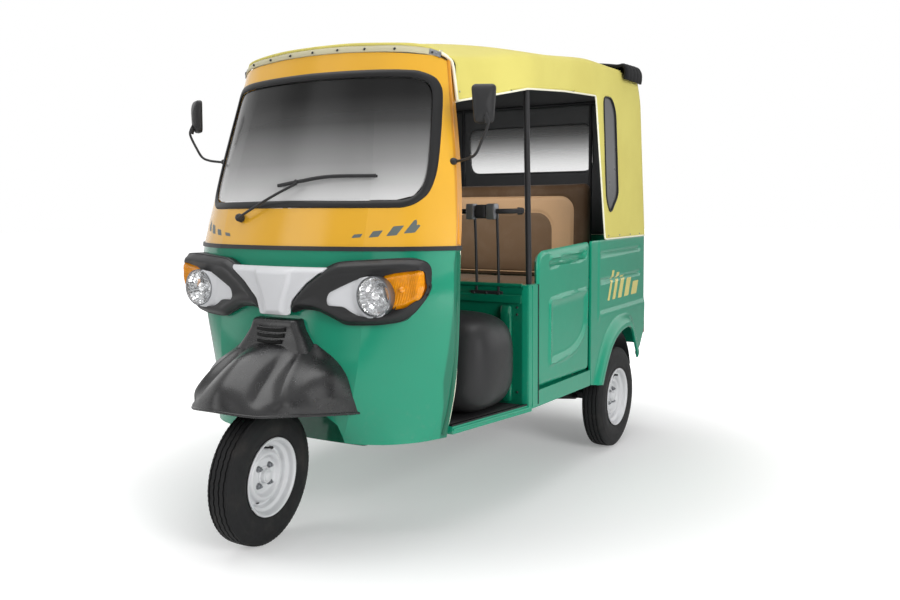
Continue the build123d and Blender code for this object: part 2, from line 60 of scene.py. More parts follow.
# %% Place the camera
CAMERA_AT = Vector((2.24381, -3.47333, 1.25622))
YAW, PITCH, ROLL = 0.533021, 0.107253, -0.00842
LENS_MM = 35.188


def camera_matrix(place, yaw, pitch, roll):
    """Columns are right, up and backwards: the look direction from yaw and pitch, then rolled."""
    look = Vector((-math.sin(yaw) * math.cos(pitch), math.cos(yaw) * math.cos(pitch), -math.sin(pitch)))
    flat_right = Vector((math.cos(yaw), math.sin(yaw), 0))
    flat_up = flat_right.cross(look)
    right = math.cos(roll) * flat_right + math.sin(roll) * flat_up
    up = -math.sin(roll) * flat_right + math.cos(roll) * flat_up
    turned = Matrix((right, up, -look)).transposed().to_4x4()
    return Matrix.Translation(place) @ turned


camera = bpy.data.objects.new("camera", bpy.data.cameras.new("camera"))
camera.data.lens = LENS_MM
camera.data.sensor_width = 36
camera.matrix_world = camera_matrix(CAMERA_AT, YAW, PITCH, ROLL)
bpy.context.scene.collection.objects.link(camera)
bpy.context.scene.camera = camera
bpy.context.scene.view_settings.view_transform = "Standard"
print("camera at", tuple(round(v, 3) for v in CAMERA_AT), "lens", LENS_MM, "mm")

# %% [markdown]
# ## A small language for materials
# A shader is a formula, and a formula is easier to read as `base * 0.8 + noise` than as a list of
# nodes and links. The class `Value` wraps one socket, and its operators add Math nodes. The class
# `Finish` is one material being written: its `node` method adds any other node, settings first.

# %% Sockets that behave like numbers
class Value:
    """One output socket of a material, with the arithmetic that the formulas below use."""

    def __init__(self, finish, socket):
        self.finish = finish
        self.socket = socket

    def math(self, operation, *others):
        """A Math node on this value and the others."""
        return self.finish.node("Math", {"operation": operation}, dict(enumerate((self, *others))))

    def absolute(self):
        return self.math("ABSOLUTE")

    def smooth_step(self, low, high):
        """0 below low, 1 above high, and a soft curve between them."""
        names = {"Value": self, "From Min": low, "From Max": high}
        return self.finish.node("MapRange", {"interpolation_type": "SMOOTHSTEP"}, names)


def operator(operation, reflected):
    """What Python calls for an arithmetic sign; the reflected form stands right of the sign."""
    def method(self, other):
        first, second = (other, self) if reflected else (self, other)
        return self.finish.node("Math", {"operation": operation}, {0: first, 1: second})
    return method


SIGNS = {"add": "ADD", "sub": "SUBTRACT", "mul": "MULTIPLY", "truediv": "DIVIDE"}
for word, operation in SIGNS.items():
    setattr(Value, f"__{word}__", operator(operation, False))
    setattr(Value, f"__r{word}__", operator(operation, True))
print("signs that add Math nodes: + - * /")

# %% [markdown]
# A finish is a whole material: its node tree, its Principled shader and the steps that fill them
# in. Most finishes need the same few things, which are a place on the object, noise, a mix of two
# colours and a bump, so each of those is one short method.

# %% A material under construction
class Finish:
    """A material with one Principled shader, written node by node."""

    def __init__(self, name):
        self.material = bpy.data.materials.new(name)
        self.material.use_nodes = True
        self.tree = self.material.node_tree
        self.shader = self.tree.nodes["Principled BSDF"]

    def feed(self, socket, value):
        """Link a Value to a socket, or write a number or a colour on it."""
        if isinstance(value, Value):
            self.tree.links.new(value.socket, socket)
        elif isinstance(value, (tuple, list)) and len(socket.default_value) == 4 and len(value) == 3:
            socket.default_value = (*value, 1)
        else:
            socket.default_value = value

    def node(self, kind, settings=None, inputs=None, output=0):
        """Add a node: its type, its settings, then the values or links of its sockets."""
        made = self.tree.nodes.new("ShaderNode" + kind)
        for key, value in (settings or {}).items():
            if key == "stops":
                self.write_stops(made.color_ramp, value)
            else:
                setattr(made, key, value)
        for key, value in (inputs or {}).items():
            self.feed(made.inputs[key], value)
        return Value(self, made.outputs[output])

    def write_stops(self, ramp, stops):
        """Colour stops as (place, colour) pairs."""
        while len(ramp.elements) < len(stops):
            ramp.elements.new(0.5)
        for element, (place, colour) in zip(ramp.elements, stops):
            element.position = place
            element.color = (*colour, 1)

    def place(self, output="Object"):
        return self.node("TexCoord", output=output)

    def axes(self, vector=None):
        """The X, Y and Z of a vector as three values."""
        split = self.tree.nodes.new("ShaderNodeSeparateXYZ")
        self.feed(split.inputs[0], vector or self.place())
        return [Value(self, socket) for socket in split.outputs]

    def noise(self, scale, detail=3.0, roughness=0.5, vector=None):
        names = {"Vector": vector or self.place(), "Scale": scale, "Detail": detail,
            "Roughness": roughness}
        return self.node("TexNoise", {"noise_dimensions": "3D"}, names)

    def mix(self, share, first, second):
        """A colour between two colours. The node's sockets for colours are numbers 6 and 7."""
        return self.node("Mix", {"data_type": "RGBA"}, {0: share, 6: first, 7: second}, output=2)

    def bump(self, height, strength=0.2, distance=0.001):
        return self.node("Bump", None, {"Strength": strength, "Distance": distance, "Height": height})

    def surface(self, **sockets):
        """Write the Principled shader's sockets, named with underscores for spaces."""
        for key, value in sockets.items():
            self.feed(self.shader.inputs[key.replace("_", " ")], value)
        return self.material


print("material tools ready")

# %% [markdown]
# ## Studio floor and light
# The vehicle stands in a white studio. The camera sees a white world, and so does everything behind
# glass. What the paint reflects is another matter: a studio hangs tall soft boxes and black
# cloths round a vehicle, and their bright and dark bands are what gives a curved panel its shape.
# The bands here are soft steps of the compass angle of the reflected ray.

# %% World with soft boxes
class Studio(Finish):
    """The world's node tree, written with the same small language as a material."""

    def __init__(self, name):
        self.world = bpy.data.worlds.new(name)
        self.world.use_nodes = True
        self.tree = self.world.node_tree
        self.shader = self.tree.nodes["Background"]

    def band(self, angle, middle, half, fade):
        """1 within half of the middle angle, fading out over fade, all in degrees."""
        away = (angle - math.radians(middle)).absolute()
        return 1 - away.smooth_step(math.radians(half), math.radians(half + fade))


def ray_is(f, *kinds):
    """1 where the ray is one of the named kinds, by the outputs of the Light Path node."""
    path = f.tree.nodes.new("ShaderNodeLightPath")
    rays = [Value(f, path.outputs[f"Is {kind} Ray"]) for kind in kinds]
    total = rays[0]
    for ray in rays[1:]:
        total = total.math("MAXIMUM", ray)
    return total


# columns: compass angle from the nose towards the left side, half width, fade, strength
SOFT_BOXES = [(-37, 5, 7, 1.9), (8, 12, 14, 0.8), (64, 14, 16, 1.1), (-78, 12, 16, 0.8),
    (138, 16, 18, 1.1), (-140, 30, 20, 0.8)]
FILL, MIRRORED_FILL, SKY = 0.28, 0.14, 0.55

studio = Studio("studio")
bpy.context.scene.world = studio.world
east, north, up = studio.axes(studio.place("Generated"))
compass = east.math("ARCTAN2", 0 - north)
boxes = MIRRORED_FILL + up.smooth_step(0.25, 0.85) * SKY
level = 1 - up.absolute().smooth_step(0.30, 0.70)
for middle, half, fade, strength in SOFT_BOXES:
    boxes = boxes + studio.band(compass, middle, half, fade) * level * strength
glossy = ray_is(studio, "Glossy")
seen = ray_is(studio, "Camera", "Transmission")
lighting = FILL * (1 - glossy) + boxes * glossy
studio.feed(studio.shader.inputs["Color"], (1.0, 1.0, 1.0))
studio.feed(studio.shader.inputs["Strength"], lighting * (1 - seen) + seen)
print("soft boxes in the world:", len(SOFT_BOXES))

# %% [markdown]
# The floor takes the vehicle's shadow. For the camera alone it adds a little light of its own,
# which lifts it to white where nothing shades it, and more of it far away, where the lamps do not
# reach. It adds least round a point beside the vehicle, which paints a darker shadow there.

# %% Floor and lamps
floor_mesh = bpy.data.meshes.new("studio_floor")
REACH = 40
floor_mesh.from_pydata([(-REACH, -REACH, 0), (REACH, -REACH, 0), (REACH, REACH, 0), (-REACH, REACH, 0)],
    [], [(0, 1, 2, 3)])
floor = bpy.data.objects.new("studio_floor", floor_mesh)
bpy.context.scene.collection.objects.link(floor)
# The paper glows least round its first point, as a painted shadow under the vehicle, and fully beyond
# the far distance.
PAINTED_SHADOW_AT, PAINTED_SHADOW_NEAR, PAINTED_SHADOW_FAR = (0.25, 0.10, 0.0), 0.9, 3.0
LEAST_GLOW, ADDED_GLOW = 0.20, 0.82
paper = Finish("studio_paper")
east, north, _ = paper.axes()
away = {0: paper.place(), 1: PAINTED_SHADOW_AT}
distance = paper.node("VectorMath", {"operation": "DISTANCE"}, away, output=1)
# painted shadow: less glow near the vehicle darkens the floor there
painted_glow = LEAST_GLOW + distance.smooth_step(PAINTED_SHADOW_NEAR, PAINTED_SHADOW_FAR) * ADDED_GLOW
paper.surface(Base_Color=(0.80, 0.80, 0.80), Roughness=0.9, Specular_IOR_Level=0.0,
    Emission_Color=(1.0, 1.0, 1.0), Emission_Strength=painted_glow * ray_is(paper, "Camera", "Transmission"))
floor_mesh.materials.append(paper.material)

# columns: name, place, aim, size, watts
LAMPS = [("roof_light", (-0.4, -0.2, 5.0), (0, 0, 0.8), (5.0, 5.0), 135), ("left_box",
    (-4.4, -3.6, 2.6), (0, -0.5, 0.9), (3.0, 3.0), 108), ("right_box", (5.6, -2.6, 2.3), (0, -0.2, 0.9),
    (2.4, 3.0), 275), ("cab_light", (0.3, 0.15, 1.72), (0.1, 0.5, 0.9), (0.8, 0.8), 6)]

for name, place, aim, size, watts in LAMPS:
    lamp = bpy.data.lights.new(name, "AREA")
    lamp.shape = "RECTANGLE"
    lamp.size, lamp.size_y = size
    lamp.energy = watts
    lit = bpy.data.objects.new(name, lamp)
    turned_to = (Vector(place) - Vector(aim)).to_track_quat("Z", "Y").to_matrix().to_4x4()
    lit.matrix_world = Matrix.Translation(place) @ turned_to
    lit.visible_glossy = name == "roof_light"
    bpy.context.scene.collection.objects.link(lit)
print("lamps:", [name for name, *_ in LAMPS])

# %% [markdown]
# ## Outlines and flat arithmetic
# A pressed panel, a lens or a window is a piece of a larger surface, cut to an outline. So the
# tools below work in two steps: first the outline is drawn flat, in two coordinates, and then a
# function carries it onto the body. Everything is done on whole arrays, which is short to write and
# fast.

# %% Outline tools
def mm(*rows):
    """Rows of millimetres, as on a drawing, turned into an array of metres."""
    return np.array(rows, float) / 1000


def join(*parts):
    """Points from their coordinates: arrays or numbers, spread to one shape and set side by side."""
    return np.stack(np.broadcast_arrays(*parts), axis=-1)


def rounded(corners, radius, steps=6):
    """A closed outline with soft corners. Each corner becomes the curve
    (1-t)^2 start + 2t(1-t) corner + t^2 end, between two points at the radius from the corner."""
    corners = np.array(corners, float)
    ways = [np.roll(corners, shift, axis=0) - corners for shift in (1, -1)]
    ends = []
    for way in ways:
        length = np.linalg.norm(way, axis=1, keepdims=True)
        reach = np.minimum(np.reshape(radius, (-1, 1)), 0.45 * length)
        ends.append(corners + way / length * reach)
    t = np.linspace(0, 1, steps + 1)[None, :, None]
    first, middle, last = (points[:, None] for points in (ends[0], corners, ends[1]))
    return ((1 - t) ** 2 * first + 2 * t * (1 - t) * middle + t ** 2 * last).reshape(-1, 2)


def oval(centre, radii, sides=48):
    """A closed outline: centre plus radii times the cosine and sine of the angle."""
    angle = np.linspace(0, 2 * np.pi, sides, endpoint=False)
    return np.array(centre) + join(radii[0] * np.cos(angle), radii[1] * np.sin(angle))


def mirrored(half):
    """An outline made whole by adding the mirror image of its half, in reverse order."""
    half = np.array(half, float)
    return np.concatenate([half, half[::-1] * (-1, 1)])


print("a soft square has", len(rounded([(0, 0), (1, 0), (1, 1), (0, 1)], 0.2)), "points")

# %% [markdown]
# Relief is worked out from one number: how far a point is from an outline, and on which side of it.
# A soft step of that distance gives a pressed panel its sloping edge.

# %% Distance to an outline
def nearest_on(outline, points):
    """The signed distance from points to a closed outline, negative inside, and the closest points.
    The side of the outline that is nearest gives the distance; crossings of a ray give inside."""
    start = outline
    side = np.roll(outline, -1, axis=0) - outline
    flat = points.reshape(-1, 1, 2)
    share = ((flat - start) * side).sum(-1) / np.maximum((side ** 2).sum(-1), 1e-18)
    close = start + np.clip(share, 0, 1)[..., None] * side
    gap = np.linalg.norm(flat - close, axis=-1)
    best = gap.argmin(axis=1)
    rows = np.arange(len(best))
    low, high = start[:, 1], start[:, 1] + side[:, 1]
    crossed = (low > flat[..., 1]) != (high > flat[..., 1])
    rise = np.where(np.abs(side[:, 1]) < 1e-12, 1e-12, side[:, 1])
    meets = start[:, 0] + (flat[..., 1] - low) / rise * side[:, 0]
    inside = (crossed & (flat[..., 0] < meets)).sum(axis=1) % 2 == 1
    signed = np.where(inside, -1, 1) * gap[rows, best]
    return signed.reshape(points.shape[:-1]), close[rows, best].reshape(points.shape)


def gap_to(outline, u, v):
    """The signed distance from (u, v) to a closed outline."""
    return nearest_on(outline, join(u, v))[0]


def soft(value, low, high):
    """0 below low, 1 above high, and 3t^2 - 2t^3 between them."""
    t = np.clip((value - low) / (high - low), 0, 1)
    return t * t * (3 - 2 * t)


def pressed(u, v, outline, width):
    """1 well inside an outline and 0 outside it, with a soft slope of the given width."""
    return 1 - soft(gap_to(outline, u, v), -width, 0)


print("half way through a soft step:", soft(0.5, 0.0, 1.0))

# %% [markdown]
# A few measured points are enough for a long smooth edge, because a spline fills in between them. The
# same spline run both ways through a net of points makes a smooth skin.

# %% Smooth curves and nets
def curve_through(points, count):
    """A smooth open curve through the points, evenly sampled: a Catmull-Rom spline, which is a cubic
    between each two points whose slope at a point is half the step between its neighbours."""
    points = np.array(points, float)
    ends = [2 * points[:1] - points[1:2], points, 2 * points[-1:] - points[-2:-1]]
    p = np.concatenate(ends)
    place = np.linspace(0, len(points) - 1, count)
    k = np.minimum(place.astype(int), len(points) - 2)
    t = (place - k).reshape(-1, *[1] * (points.ndim - 1))
    a, b, c, d = p[k], p[k + 1], p[k + 2], p[k + 3]
    return 0.5 * (2 * b + (c - a) * t + (2 * a - 5 * b + 4 * c - d) * t ** 2 + (3 * b - a - 3 * c
        + d) * t ** 3)


def net_through(rows, across, along):
    """A smooth surface through a net of points: the curves through its rows, then through those."""
    rows = np.array(rows, float)
    lines = curve_through(rows, along)
    return curve_through(lines.swapaxes(0, 1), across).swapaxes(0, 1)


print("curves, nets and outlines ready")

# %% [markdown]
# ## Shapes made of grids
# A `Shape` gathers grids of points. Each grid is a function of two parameters, so its faces are
# plain quads between neighbours, and whole lists of them are made at once. A sweep carries a flat
# profile along a path, and a turned shape carries it round an axis; both are grids too.

# %% The Shape class
class Shape:
    """Points and faces gathered from several grids, for one mesh."""

    def __init__(self):
        self.points = []
        self.faces = []
        self.flat = []
        self.count = 0

    def grid(self, points, keep=None, wrap=(False, False), outward=None, flat=None):
        """Quads between the neighbours of a (rows, columns, 3) array. keep marks the cells that stay,
        wrap joins the last row or column to the first, and outward turns the faces that way."""
        rows, columns = points.shape[:2]
        i, j = np.meshgrid(np.arange(rows - (not wrap[0])), np.arange(columns - (not wrap[1])),
            indexing="ij")
        here, there = (i + 1) % rows, (j + 1) % columns
        quads = join(i * columns + j, here * columns + j, here * columns + there, i * columns + there)
        quads = quads[keep] if keep is not None else quads.reshape(-1, 4)
        cloud = points.reshape(-1, 3)
        if outward is not None:
            a, b, c, d = (cloud[quads[:, k]] for k in range(4))
            if (np.cross(c - a, d - b).sum(axis=0) * outward).sum() < 0:
                quads = quads[:, ::-1]
        self.faces.append(quads + self.count)
        self.flat.append(np.zeros((len(cloud), 2)) if flat is None else flat.reshape(-1, 2))
        self.points.append(cloud)
        self.count += len(cloud)
        return self

    def lid(self, ring):
        """A fan of thin triangles from a ring of points to its middle, stored as closed-up quads."""
        middle = np.broadcast_to(ring.mean(axis=0), ring.shape)
        return self.grid(np.stack([ring, middle]), wrap=(False, True))

    def moved(self, matrix):
        """A copy of all that is gathered, carried by a 4x4 matrix."""
        copy = Shape()
        turn = np.array(matrix)
        copy.points = [p @ turn[:3, :3].T + turn[:3, 3] for p in self.points]
        reverse = np.linalg.det(turn[:3, :3]) < 0
        copy.faces = [f[:, ::-1] if reverse else f for f in self.faces]
        copy.flat = list(self.flat)
        copy.count = self.count
        return copy

    def add(self, *others):
        """Take in the grids of other shapes."""
        for other in others:
            for points, faces, flat in zip(other.points, other.faces, other.flat):
                self.points.append(points)
                self.faces.append(faces + self.count)
                self.flat.append(flat)
            self.count += other.count
        return self

    def quads(self):
        return sum(len(faces) for faces in self.faces)

    def both_sides(self):
        """This shape and its mirror image across the middle of the vehicle."""
        return Shape().add(self, self.moved(np.diag((-1, 1, 1, 1))))


print("a grid of 3 by 4 points has", Shape().grid(np.zeros((3, 4, 3))).quads(), "quads")

# %% [markdown]
# A seal, a rail or a tube has one section all along. It is made as its section carried along a path,
# turned at each point so that it stays square to it.

# %% Sweeps and tubes
def frames_along(path, up):
    """At each point of a path, its direction and two axes across it: sideways is up x direction."""
    step = np.gradient(path, axis=0)
    along = step / np.linalg.norm(step, axis=1, keepdims=True)
    sideways = np.cross(np.broadcast_to(up, along.shape), along)
    sideways /= np.maximum(np.linalg.norm(sideways, axis=1, keepdims=True), 1e-9)
    return along, sideways, np.cross(along, sideways)


def sweep(path, profile, up=(0, 0, 1), loop=False, caps=True):
    """A closed flat profile carried along a path: point = path + x sideways + y upwards."""
    path, profile = np.array(path, float), np.array(profile, float)
    if loop:
        wrapped = np.concatenate([path[-1:], path, path[:1]])
        _, side, rise = (axis[1:-1] for axis in frames_along(wrapped, up))
    else:
        _, side, rise = frames_along(path, up)
    points = path[:, None] + profile[None, :, :1] * side[:, None] + profile[None, :, 1:] * rise[:, None]
    made = Shape().grid(points, wrap=(loop, True))
    if caps and not loop:
        made.lid(points[0]).lid(points[-1][::-1])
    return made


def oblong(half_width, half_height, radius):
    """A rectangle about the origin with soft corners."""
    corners = np.array([(-1, -1), (1, -1), (1, 1), (-1, 1)]) * (half_width, half_height)
    return rounded(corners, radius)


def ring_profile(radius, sides=12):
    """A round profile."""
    return oval((0, 0), (radius, radius), sides)[::-1]


def tube(points, radius, sides=12, samples=None, up=(0, 0, 1)):
    """A round bar along a smooth curve through the points."""
    path = curve_through(points, samples) if samples else np.array(points, float)
    return sweep(path, ring_profile(radius, sides), up)


print("a short tube has", tube([(0, 0, 0), (1, 0, 0)], 0.1).quads(), "quads with its lids")

# %% [markdown]
# Nuts, lamps, tyres and bolt heads are round, so they are a profile turned about an axis, as on a
# lathe.

# %% Turned shapes
def cap_profile(height, radius, steps=8, start=0.0):
    """A quarter of an oval, from its rim to its tip: the section of a dome, a bulb or a lens."""
    turn = np.linspace(0, np.pi / 2, steps)
    return join(start + height * np.sin(turn), radius * np.cos(turn))


def turned(profile, centre=(0, 0, 0), axis=(1, 0, 0), sides=64, wave=None):
    """A profile of (distance along the axis, radius) carried round it. wave(angle, profile index)
    may add to the radius, as a tread does."""
    axis = np.array(axis, float) / np.linalg.norm(axis)
    first = np.cross(axis, (0, 0, 1) if abs(axis[2]) < 0.9 else (1, 0, 0))
    first /= np.linalg.norm(first)
    second = np.cross(axis, first)
    angle = np.linspace(0, 2 * np.pi, sides, endpoint=False)
    profile = np.array(profile, float)
    radius = np.broadcast_to(profile[None, :, 1], (sides, len(profile)))
    if wave is not None:
        radius = radius + wave(angle[:, None], np.arange(len(profile))[None])
    ray = np.cos(angle)[:, None] * first + np.sin(angle)[:, None] * second
    points = np.array(centre) + profile[None, :, :1] * axis + radius[..., None] * ray[:, None]
    return Shape().grid(points, wrap=(True, False))


print("a dome has", turned(cap_profile(0.1, 0.2)).quads(), "quads")

# %% [markdown]
# A sheet cut to an outline would have a ragged edge on a square grid. So the grid's corners along the
# cut are pulled onto the outline itself, which makes the edge smooth with few faces.

# %% Trimmed sheets
def trimmed(outline, place, step, holes=(), outward=None):
    """A surface cut to an outline. A square grid covers it; cells whose middle lies inside stay; the
    corners between kept and dropped cells move to the nearest outline; place(u, v) gives the points."""
    low, high = outline.min(axis=0) - step, outline.max(axis=0) + step
    counts = np.ceil((high - low) / step).astype(int) + 1
    axes = [np.linspace(low[k], high[k], counts[k]) for k in (0, 1)]
    flat = np.stack(np.meshgrid(*axes, indexing="ij"), axis=-1)
    middle = (flat[1:, 1:] + flat[:-1, :-1]) / 2
    keep = nearest_on(outline, middle)[0] < 0
    for hole in holes:
        keep &= nearest_on(hole, middle)[0] > 0
    flat = snap_rim(flat, keep, [outline, *holes])
    points = join(*place(flat[..., 0], flat[..., 1]))
    return Shape().grid(points, keep=keep, outward=outward, flat=flat)


def snap_rim(flat, keep, outlines, beyond="constant"):
    """Move each grid corner that kept and dropped cells share to the nearest point of an outline.
    beyond says what lies past the grid: "constant" is dropped, "edge" is more of the same."""
    padded = np.pad(keep, 1, mode=beyond)
    around = [padded[:-1, :-1], padded[1:, :-1], padded[:-1, 1:], padded[1:, 1:]]
    rim = np.logical_or.reduce(around) & ~np.logical_and.reduce(around)
    loose = flat[rim]
    found = [nearest_on(outline, loose) for outline in outlines]
    best = np.abs(np.stack([gap for gap, _ in found])).argmin(axis=0)
    moved = flat.copy()
    moved[rim] = np.stack([spot for _, spot in found])[best, np.arange(len(loose))]
    return moved


print("trimmed sheets ready")

# %% [markdown]
# ## From arrays to objects
# One function turns a `Shape` into an object. Points that fall together are merged, so that seams
# and poles close, and a Solidify modifier gives sheet metal its thickness where it is asked for. A
# small Bevel catches the light along the edges, as a folded or moulded edge does.

# %% Make a piece
finishes = {}
MERGE_WITHIN, BEVEL_FROM = 2e-5, 40


def piece(name, shape, finish, body="root", replaces=(), closed=True, thick=0.0, bevel=0.0,
          crease=35, lining=None):
    """One mesh object from a Shape, riding on a body and finished with a material of the record."""
    mesh = bpy.data.meshes.new(name)
    mesh.from_pydata(np.concatenate(shape.points).tolist(), [], np.concatenate(shape.faces).tolist())
    write_flat(mesh, np.concatenate(shape.flat))
    work = bmesh.new()
    work.from_mesh(mesh)
    bmesh.ops.remove_doubles(work, verts=work.verts, dist=MERGE_WITHIN)
    bmesh.ops.dissolve_degenerate(work, edges=work.edges, dist=1e-6)
    if closed:
        bmesh.ops.recalc_face_normals(work, faces=work.faces)
    work.to_mesh(mesh)
    work.free()
    mesh.polygons.foreach_set("use_smooth", np.ones(len(mesh.polygons), bool))
    mesh.set_sharp_from_angle(angle=math.radians(crease))
    made = bpy.data.objects.new(name, mesh)
    bpy.context.scene.collection.objects.link(made)
    mesh.materials.append(finishes[finish])
    if thick:
        wall = made.modifiers.new("wall", "SOLIDIFY")
        wall.thickness = thick
        wall.offset = -1
        if lining:
            mesh.materials.append(finishes[lining])
            wall.material_offset = 1
    if bevel:
        edge = made.modifiers.new("edge", "BEVEL")
        edge.width = bevel
        edge.segments = 2
        edge.limit_method = "ANGLE"
        edge.angle_limit = math.radians(BEVEL_FROM)
    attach(made, body)
    if replaces:
        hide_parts(*replaces)
    return made


def write_flat(mesh, flat):
    """Store the two flat coordinates of every point as a UV map, in metres."""
    layer = mesh.uv_layers.new(name="flat")
    corner = np.empty(len(mesh.loops), int)
    mesh.loops.foreach_get("vertex_index", corner)
    layer.data.foreach_set("uv", flat[corner].astype(np.float32).ravel())


print("shape tools ready")

# %% [markdown]
# ## Colours
# Paint charts give colours as they look on a screen. Blender's light works with linear values, so
# each screen colour is turned into a linear one before it is used.

# %% Screen colours
def screen(red, green, blue):
    """A 0-255 screen colour as linear light: (c / 12.92) when dark, else ((c + 0.055) / 1.055)^2.4."""
    shares = np.array((red, green, blue)) / 255
    linear = np.where(shares <= 0.04045, shares / 12.92, ((shares + 0.055) / 1.055) ** 2.4)
    return tuple(float(c) for c in linear)


print("middle grey as linear light:", round(screen(128, 128, 128)[0], 3))

# %% [markdown]
# ## Body paint
# The body is pressed steel in two gloss colours. Under a clear coat, real paint has a faint orange
# peel, and its colour drifts a little where primer and dust show through. Edges near the road are
# darker with grime. All of this is noise in object space, so no picture is needed.

# %% Gloss paint
def gloss_paint(name, colour, low_grime=0.55, hem=None):
    """Coat over colour, with orange peel, a slow drift of tone and dust that thickens near the road.
    The hem is the folded rear edge of the nose, where a darker colour paints the shade of the fold."""
    f = Finish(name)
    x, y, z = f.axes()
    drift = f.noise(2.3, 3).smooth_step(0.35, 0.65)
    toned = f.mix(drift * 0.35, colour, tuple(c * 0.86 for c in colour))
    dusty = tuple(c * 0.45 + 0.10 for c in colour)
    near_road = 1 - z.smooth_step(0.36, 0.36 + low_grime)
    speck = f.noise(38, 5, 0.65).smooth_step(0.52, 0.75)
    paint = f.mix(near_road * speck * 0.20, toned, dusty)
    if hem:
        low_fold = (FOOT_Y - z * FOOT_SLOPE).math("MAXIMUM", LOW_FOLD_Y)
        fold = (z * FOLD_SLOPE + FOLD_Y).math("MAXIMUM", low_fold)
        # painted shade: the hem colour, along the nose's folded rear edge
        behind = (y - fold).smooth_step(-0.014, -0.006)
        paint = f.mix(behind * x.absolute().smooth_step(0.47, 0.50) * 0.65, paint, hem)
    peel = f.noise(420, 2) * 0.5 + f.noise(90, 2)
    rough = 0.34 + f.noise(14, 4) * 0.10 + near_road * 0.08
    return f.surface(Base_Color=paint, Roughness=rough, Coat_Weight=0.9, Coat_Roughness=0.10,
        Specular_IOR_Level=0.30, Normal=f.bump(peel, 0.045, 0.0006))


GREEN = screen(10, 140, 108)
YELLOW = screen(224, 168, 40)
# The nose's rear edge in y: it slopes with the windscreen, stands upright below, and turns back
# at the foot.
FOLD_SLOPE, FOLD_Y, LOW_FOLD_Y = 0.224, -0.934, -0.700
FOOT_SLOPE, FOOT_Y = 0.12, -0.628
finishes["green_paint"] = gloss_paint("green_paint", GREEN)
finishes["yellow_paint"] = gloss_paint("yellow_paint", YELLOW, 0.2)
# The nose paints carry a darker hem colour, which paints the shade of the fold.
finishes["green_paint.nose_painted_hem_shade"] = gloss_paint("nose_green_paint_painted_hem_shade", GREEN, 0.3, hem=screen(0, 82, 60))
finishes["yellow_paint.nose_painted_hem_shade"] = gloss_paint("nose_yellow_paint_painted_hem_shade", YELLOW, 0.2, hem=screen(176, 108, 14))


print("gloss paints:", sorted(finishes))

# %% [markdown]
# Tubes, castings and trim are painted more plainly. Their satin paint scatters light with a fine
# grain, and hands and boots polish it, so patches of it are a little lighter.

# %% Satin paint
def satin_paint(name, colour, metallic, rough, speckle=600):
    """Plain paint on tubes, castings and trim: fine grain, and worn lighter in patches."""
    f = Finish(name)
    wear = f.noise(26, 6, 0.7).smooth_step(0.60, 0.78)
    toned = f.mix(f.noise(5, 3) * 0.5, colour, tuple(c * 0.72 for c in colour))
    worn = f.mix(wear * 0.18, toned, tuple(min(1.0, c * 1.5 + 0.05) for c in colour))
    grain = f.noise(speckle, 3)
    return f.surface(Base_Color=worn, Metallic=metallic, Roughness=rough + f.noise(60, 4) * 0.14,
        Normal=f.bump(grain, 0.10, 0.0004))


finishes["black_paint"] = satin_paint("black_paint", screen(34, 34, 36), 0.0, 0.30)
finishes["grey_cast"] = satin_paint("grey_cast", screen(74, 75, 78), 0.35, 0.52, 260)
finishes["silver_paint"] = satin_paint("silver_paint", screen(216, 217, 219), 0.25, 0.30)
finishes["silver_plastic"] = satin_paint("silver_plastic", screen(222, 223, 226), 0.10, 0.30, 900)
print("paints:", sorted(finishes))

# %% [markdown]
# ## Moulded black plastic and rubber
# The mask, the mudguard and the mirrors are grained plastic: a matt skin of tiny bumps that spreads
# the highlight. Tyre rubber is darker and drier, with a bloom of road dust that gathers in patches.

# %% Plastic and rubber
def grained_plastic(name, colour, rough=0.42, shine=0.42):
    f = Finish(name)
    leather = f.node("TexVoronoi", {"feature": "DISTANCE_TO_EDGE"}, {"Vector": f.place(), "Scale": 720})
    grain = leather * 1.2 + f.noise(1400, 2) * 0.4
    patchy = f.noise(7, 4).smooth_step(0.3, 0.7)
    toned = f.mix(patchy * 0.4, colour, tuple(c * 0.75 + 0.004 for c in colour))
    return f.surface(Base_Color=toned, Roughness=rough + f.noise(30, 4) * 0.12,
        Specular_IOR_Level=shine, Normal=f.bump(grain, 0.16, 0.0004))


finishes["black_plastic"] = grained_plastic("black_plastic", screen(40, 40, 41), 0.34)
finishes["black_plastic.guard"] = grained_plastic("guard_plastic", screen(30, 30, 31), 0.22, 0.75)
# Near-black: painted shade inside the mudguard's air slots.
finishes["black_plastic.slot_shade"] = grained_plastic("slot_shade_plastic", screen(5, 5, 5), 0.60)
finishes["seal_rubber"] = grained_plastic("seal_rubber", screen(26, 26, 27), 0.36)


def tyre_compound():
    f = Finish("tyre_rubber")
    dust = f.noise(11, 5, 0.6).smooth_step(0.48, 0.80)
    black, dusty = screen(26, 26, 27), screen(66, 62, 58)
    flow = f.noise(300, 3)
    return f.surface(Base_Color=f.mix(dust * 0.35, black, dusty),
        Roughness=0.56 + f.noise(50, 3) * 0.16, Specular_IOR_Level=0.35,
        Normal=f.bump(flow, 0.14, 0.0005))


finishes["tyre_rubber"] = tyre_compound()
print("with plastic and rubber:", len(finishes))

# %% [markdown]
# ## Coated cloth
# The hood is woven cloth coated with vinyl. The weave shows through the coat as a fine square grid,
# so it is two sine waves, one across each flat coordinate of the sheet. Broad, slow noise stands
# for the way the skin tightens over its frame, and it darkens a little in its low places.

# %% Hood cloth
THREAD = 0.0016


def woven(f, thread):
    """Two sets of threads: the product of two waves across the sheet's own flat coordinates."""
    u, v, _ = f.axes(f.node("UVMap", {"uv_map": "flat"}))
    turn = 2 * math.pi / thread
    return (u * turn).math("SINE") * (v * turn).math("SINE")


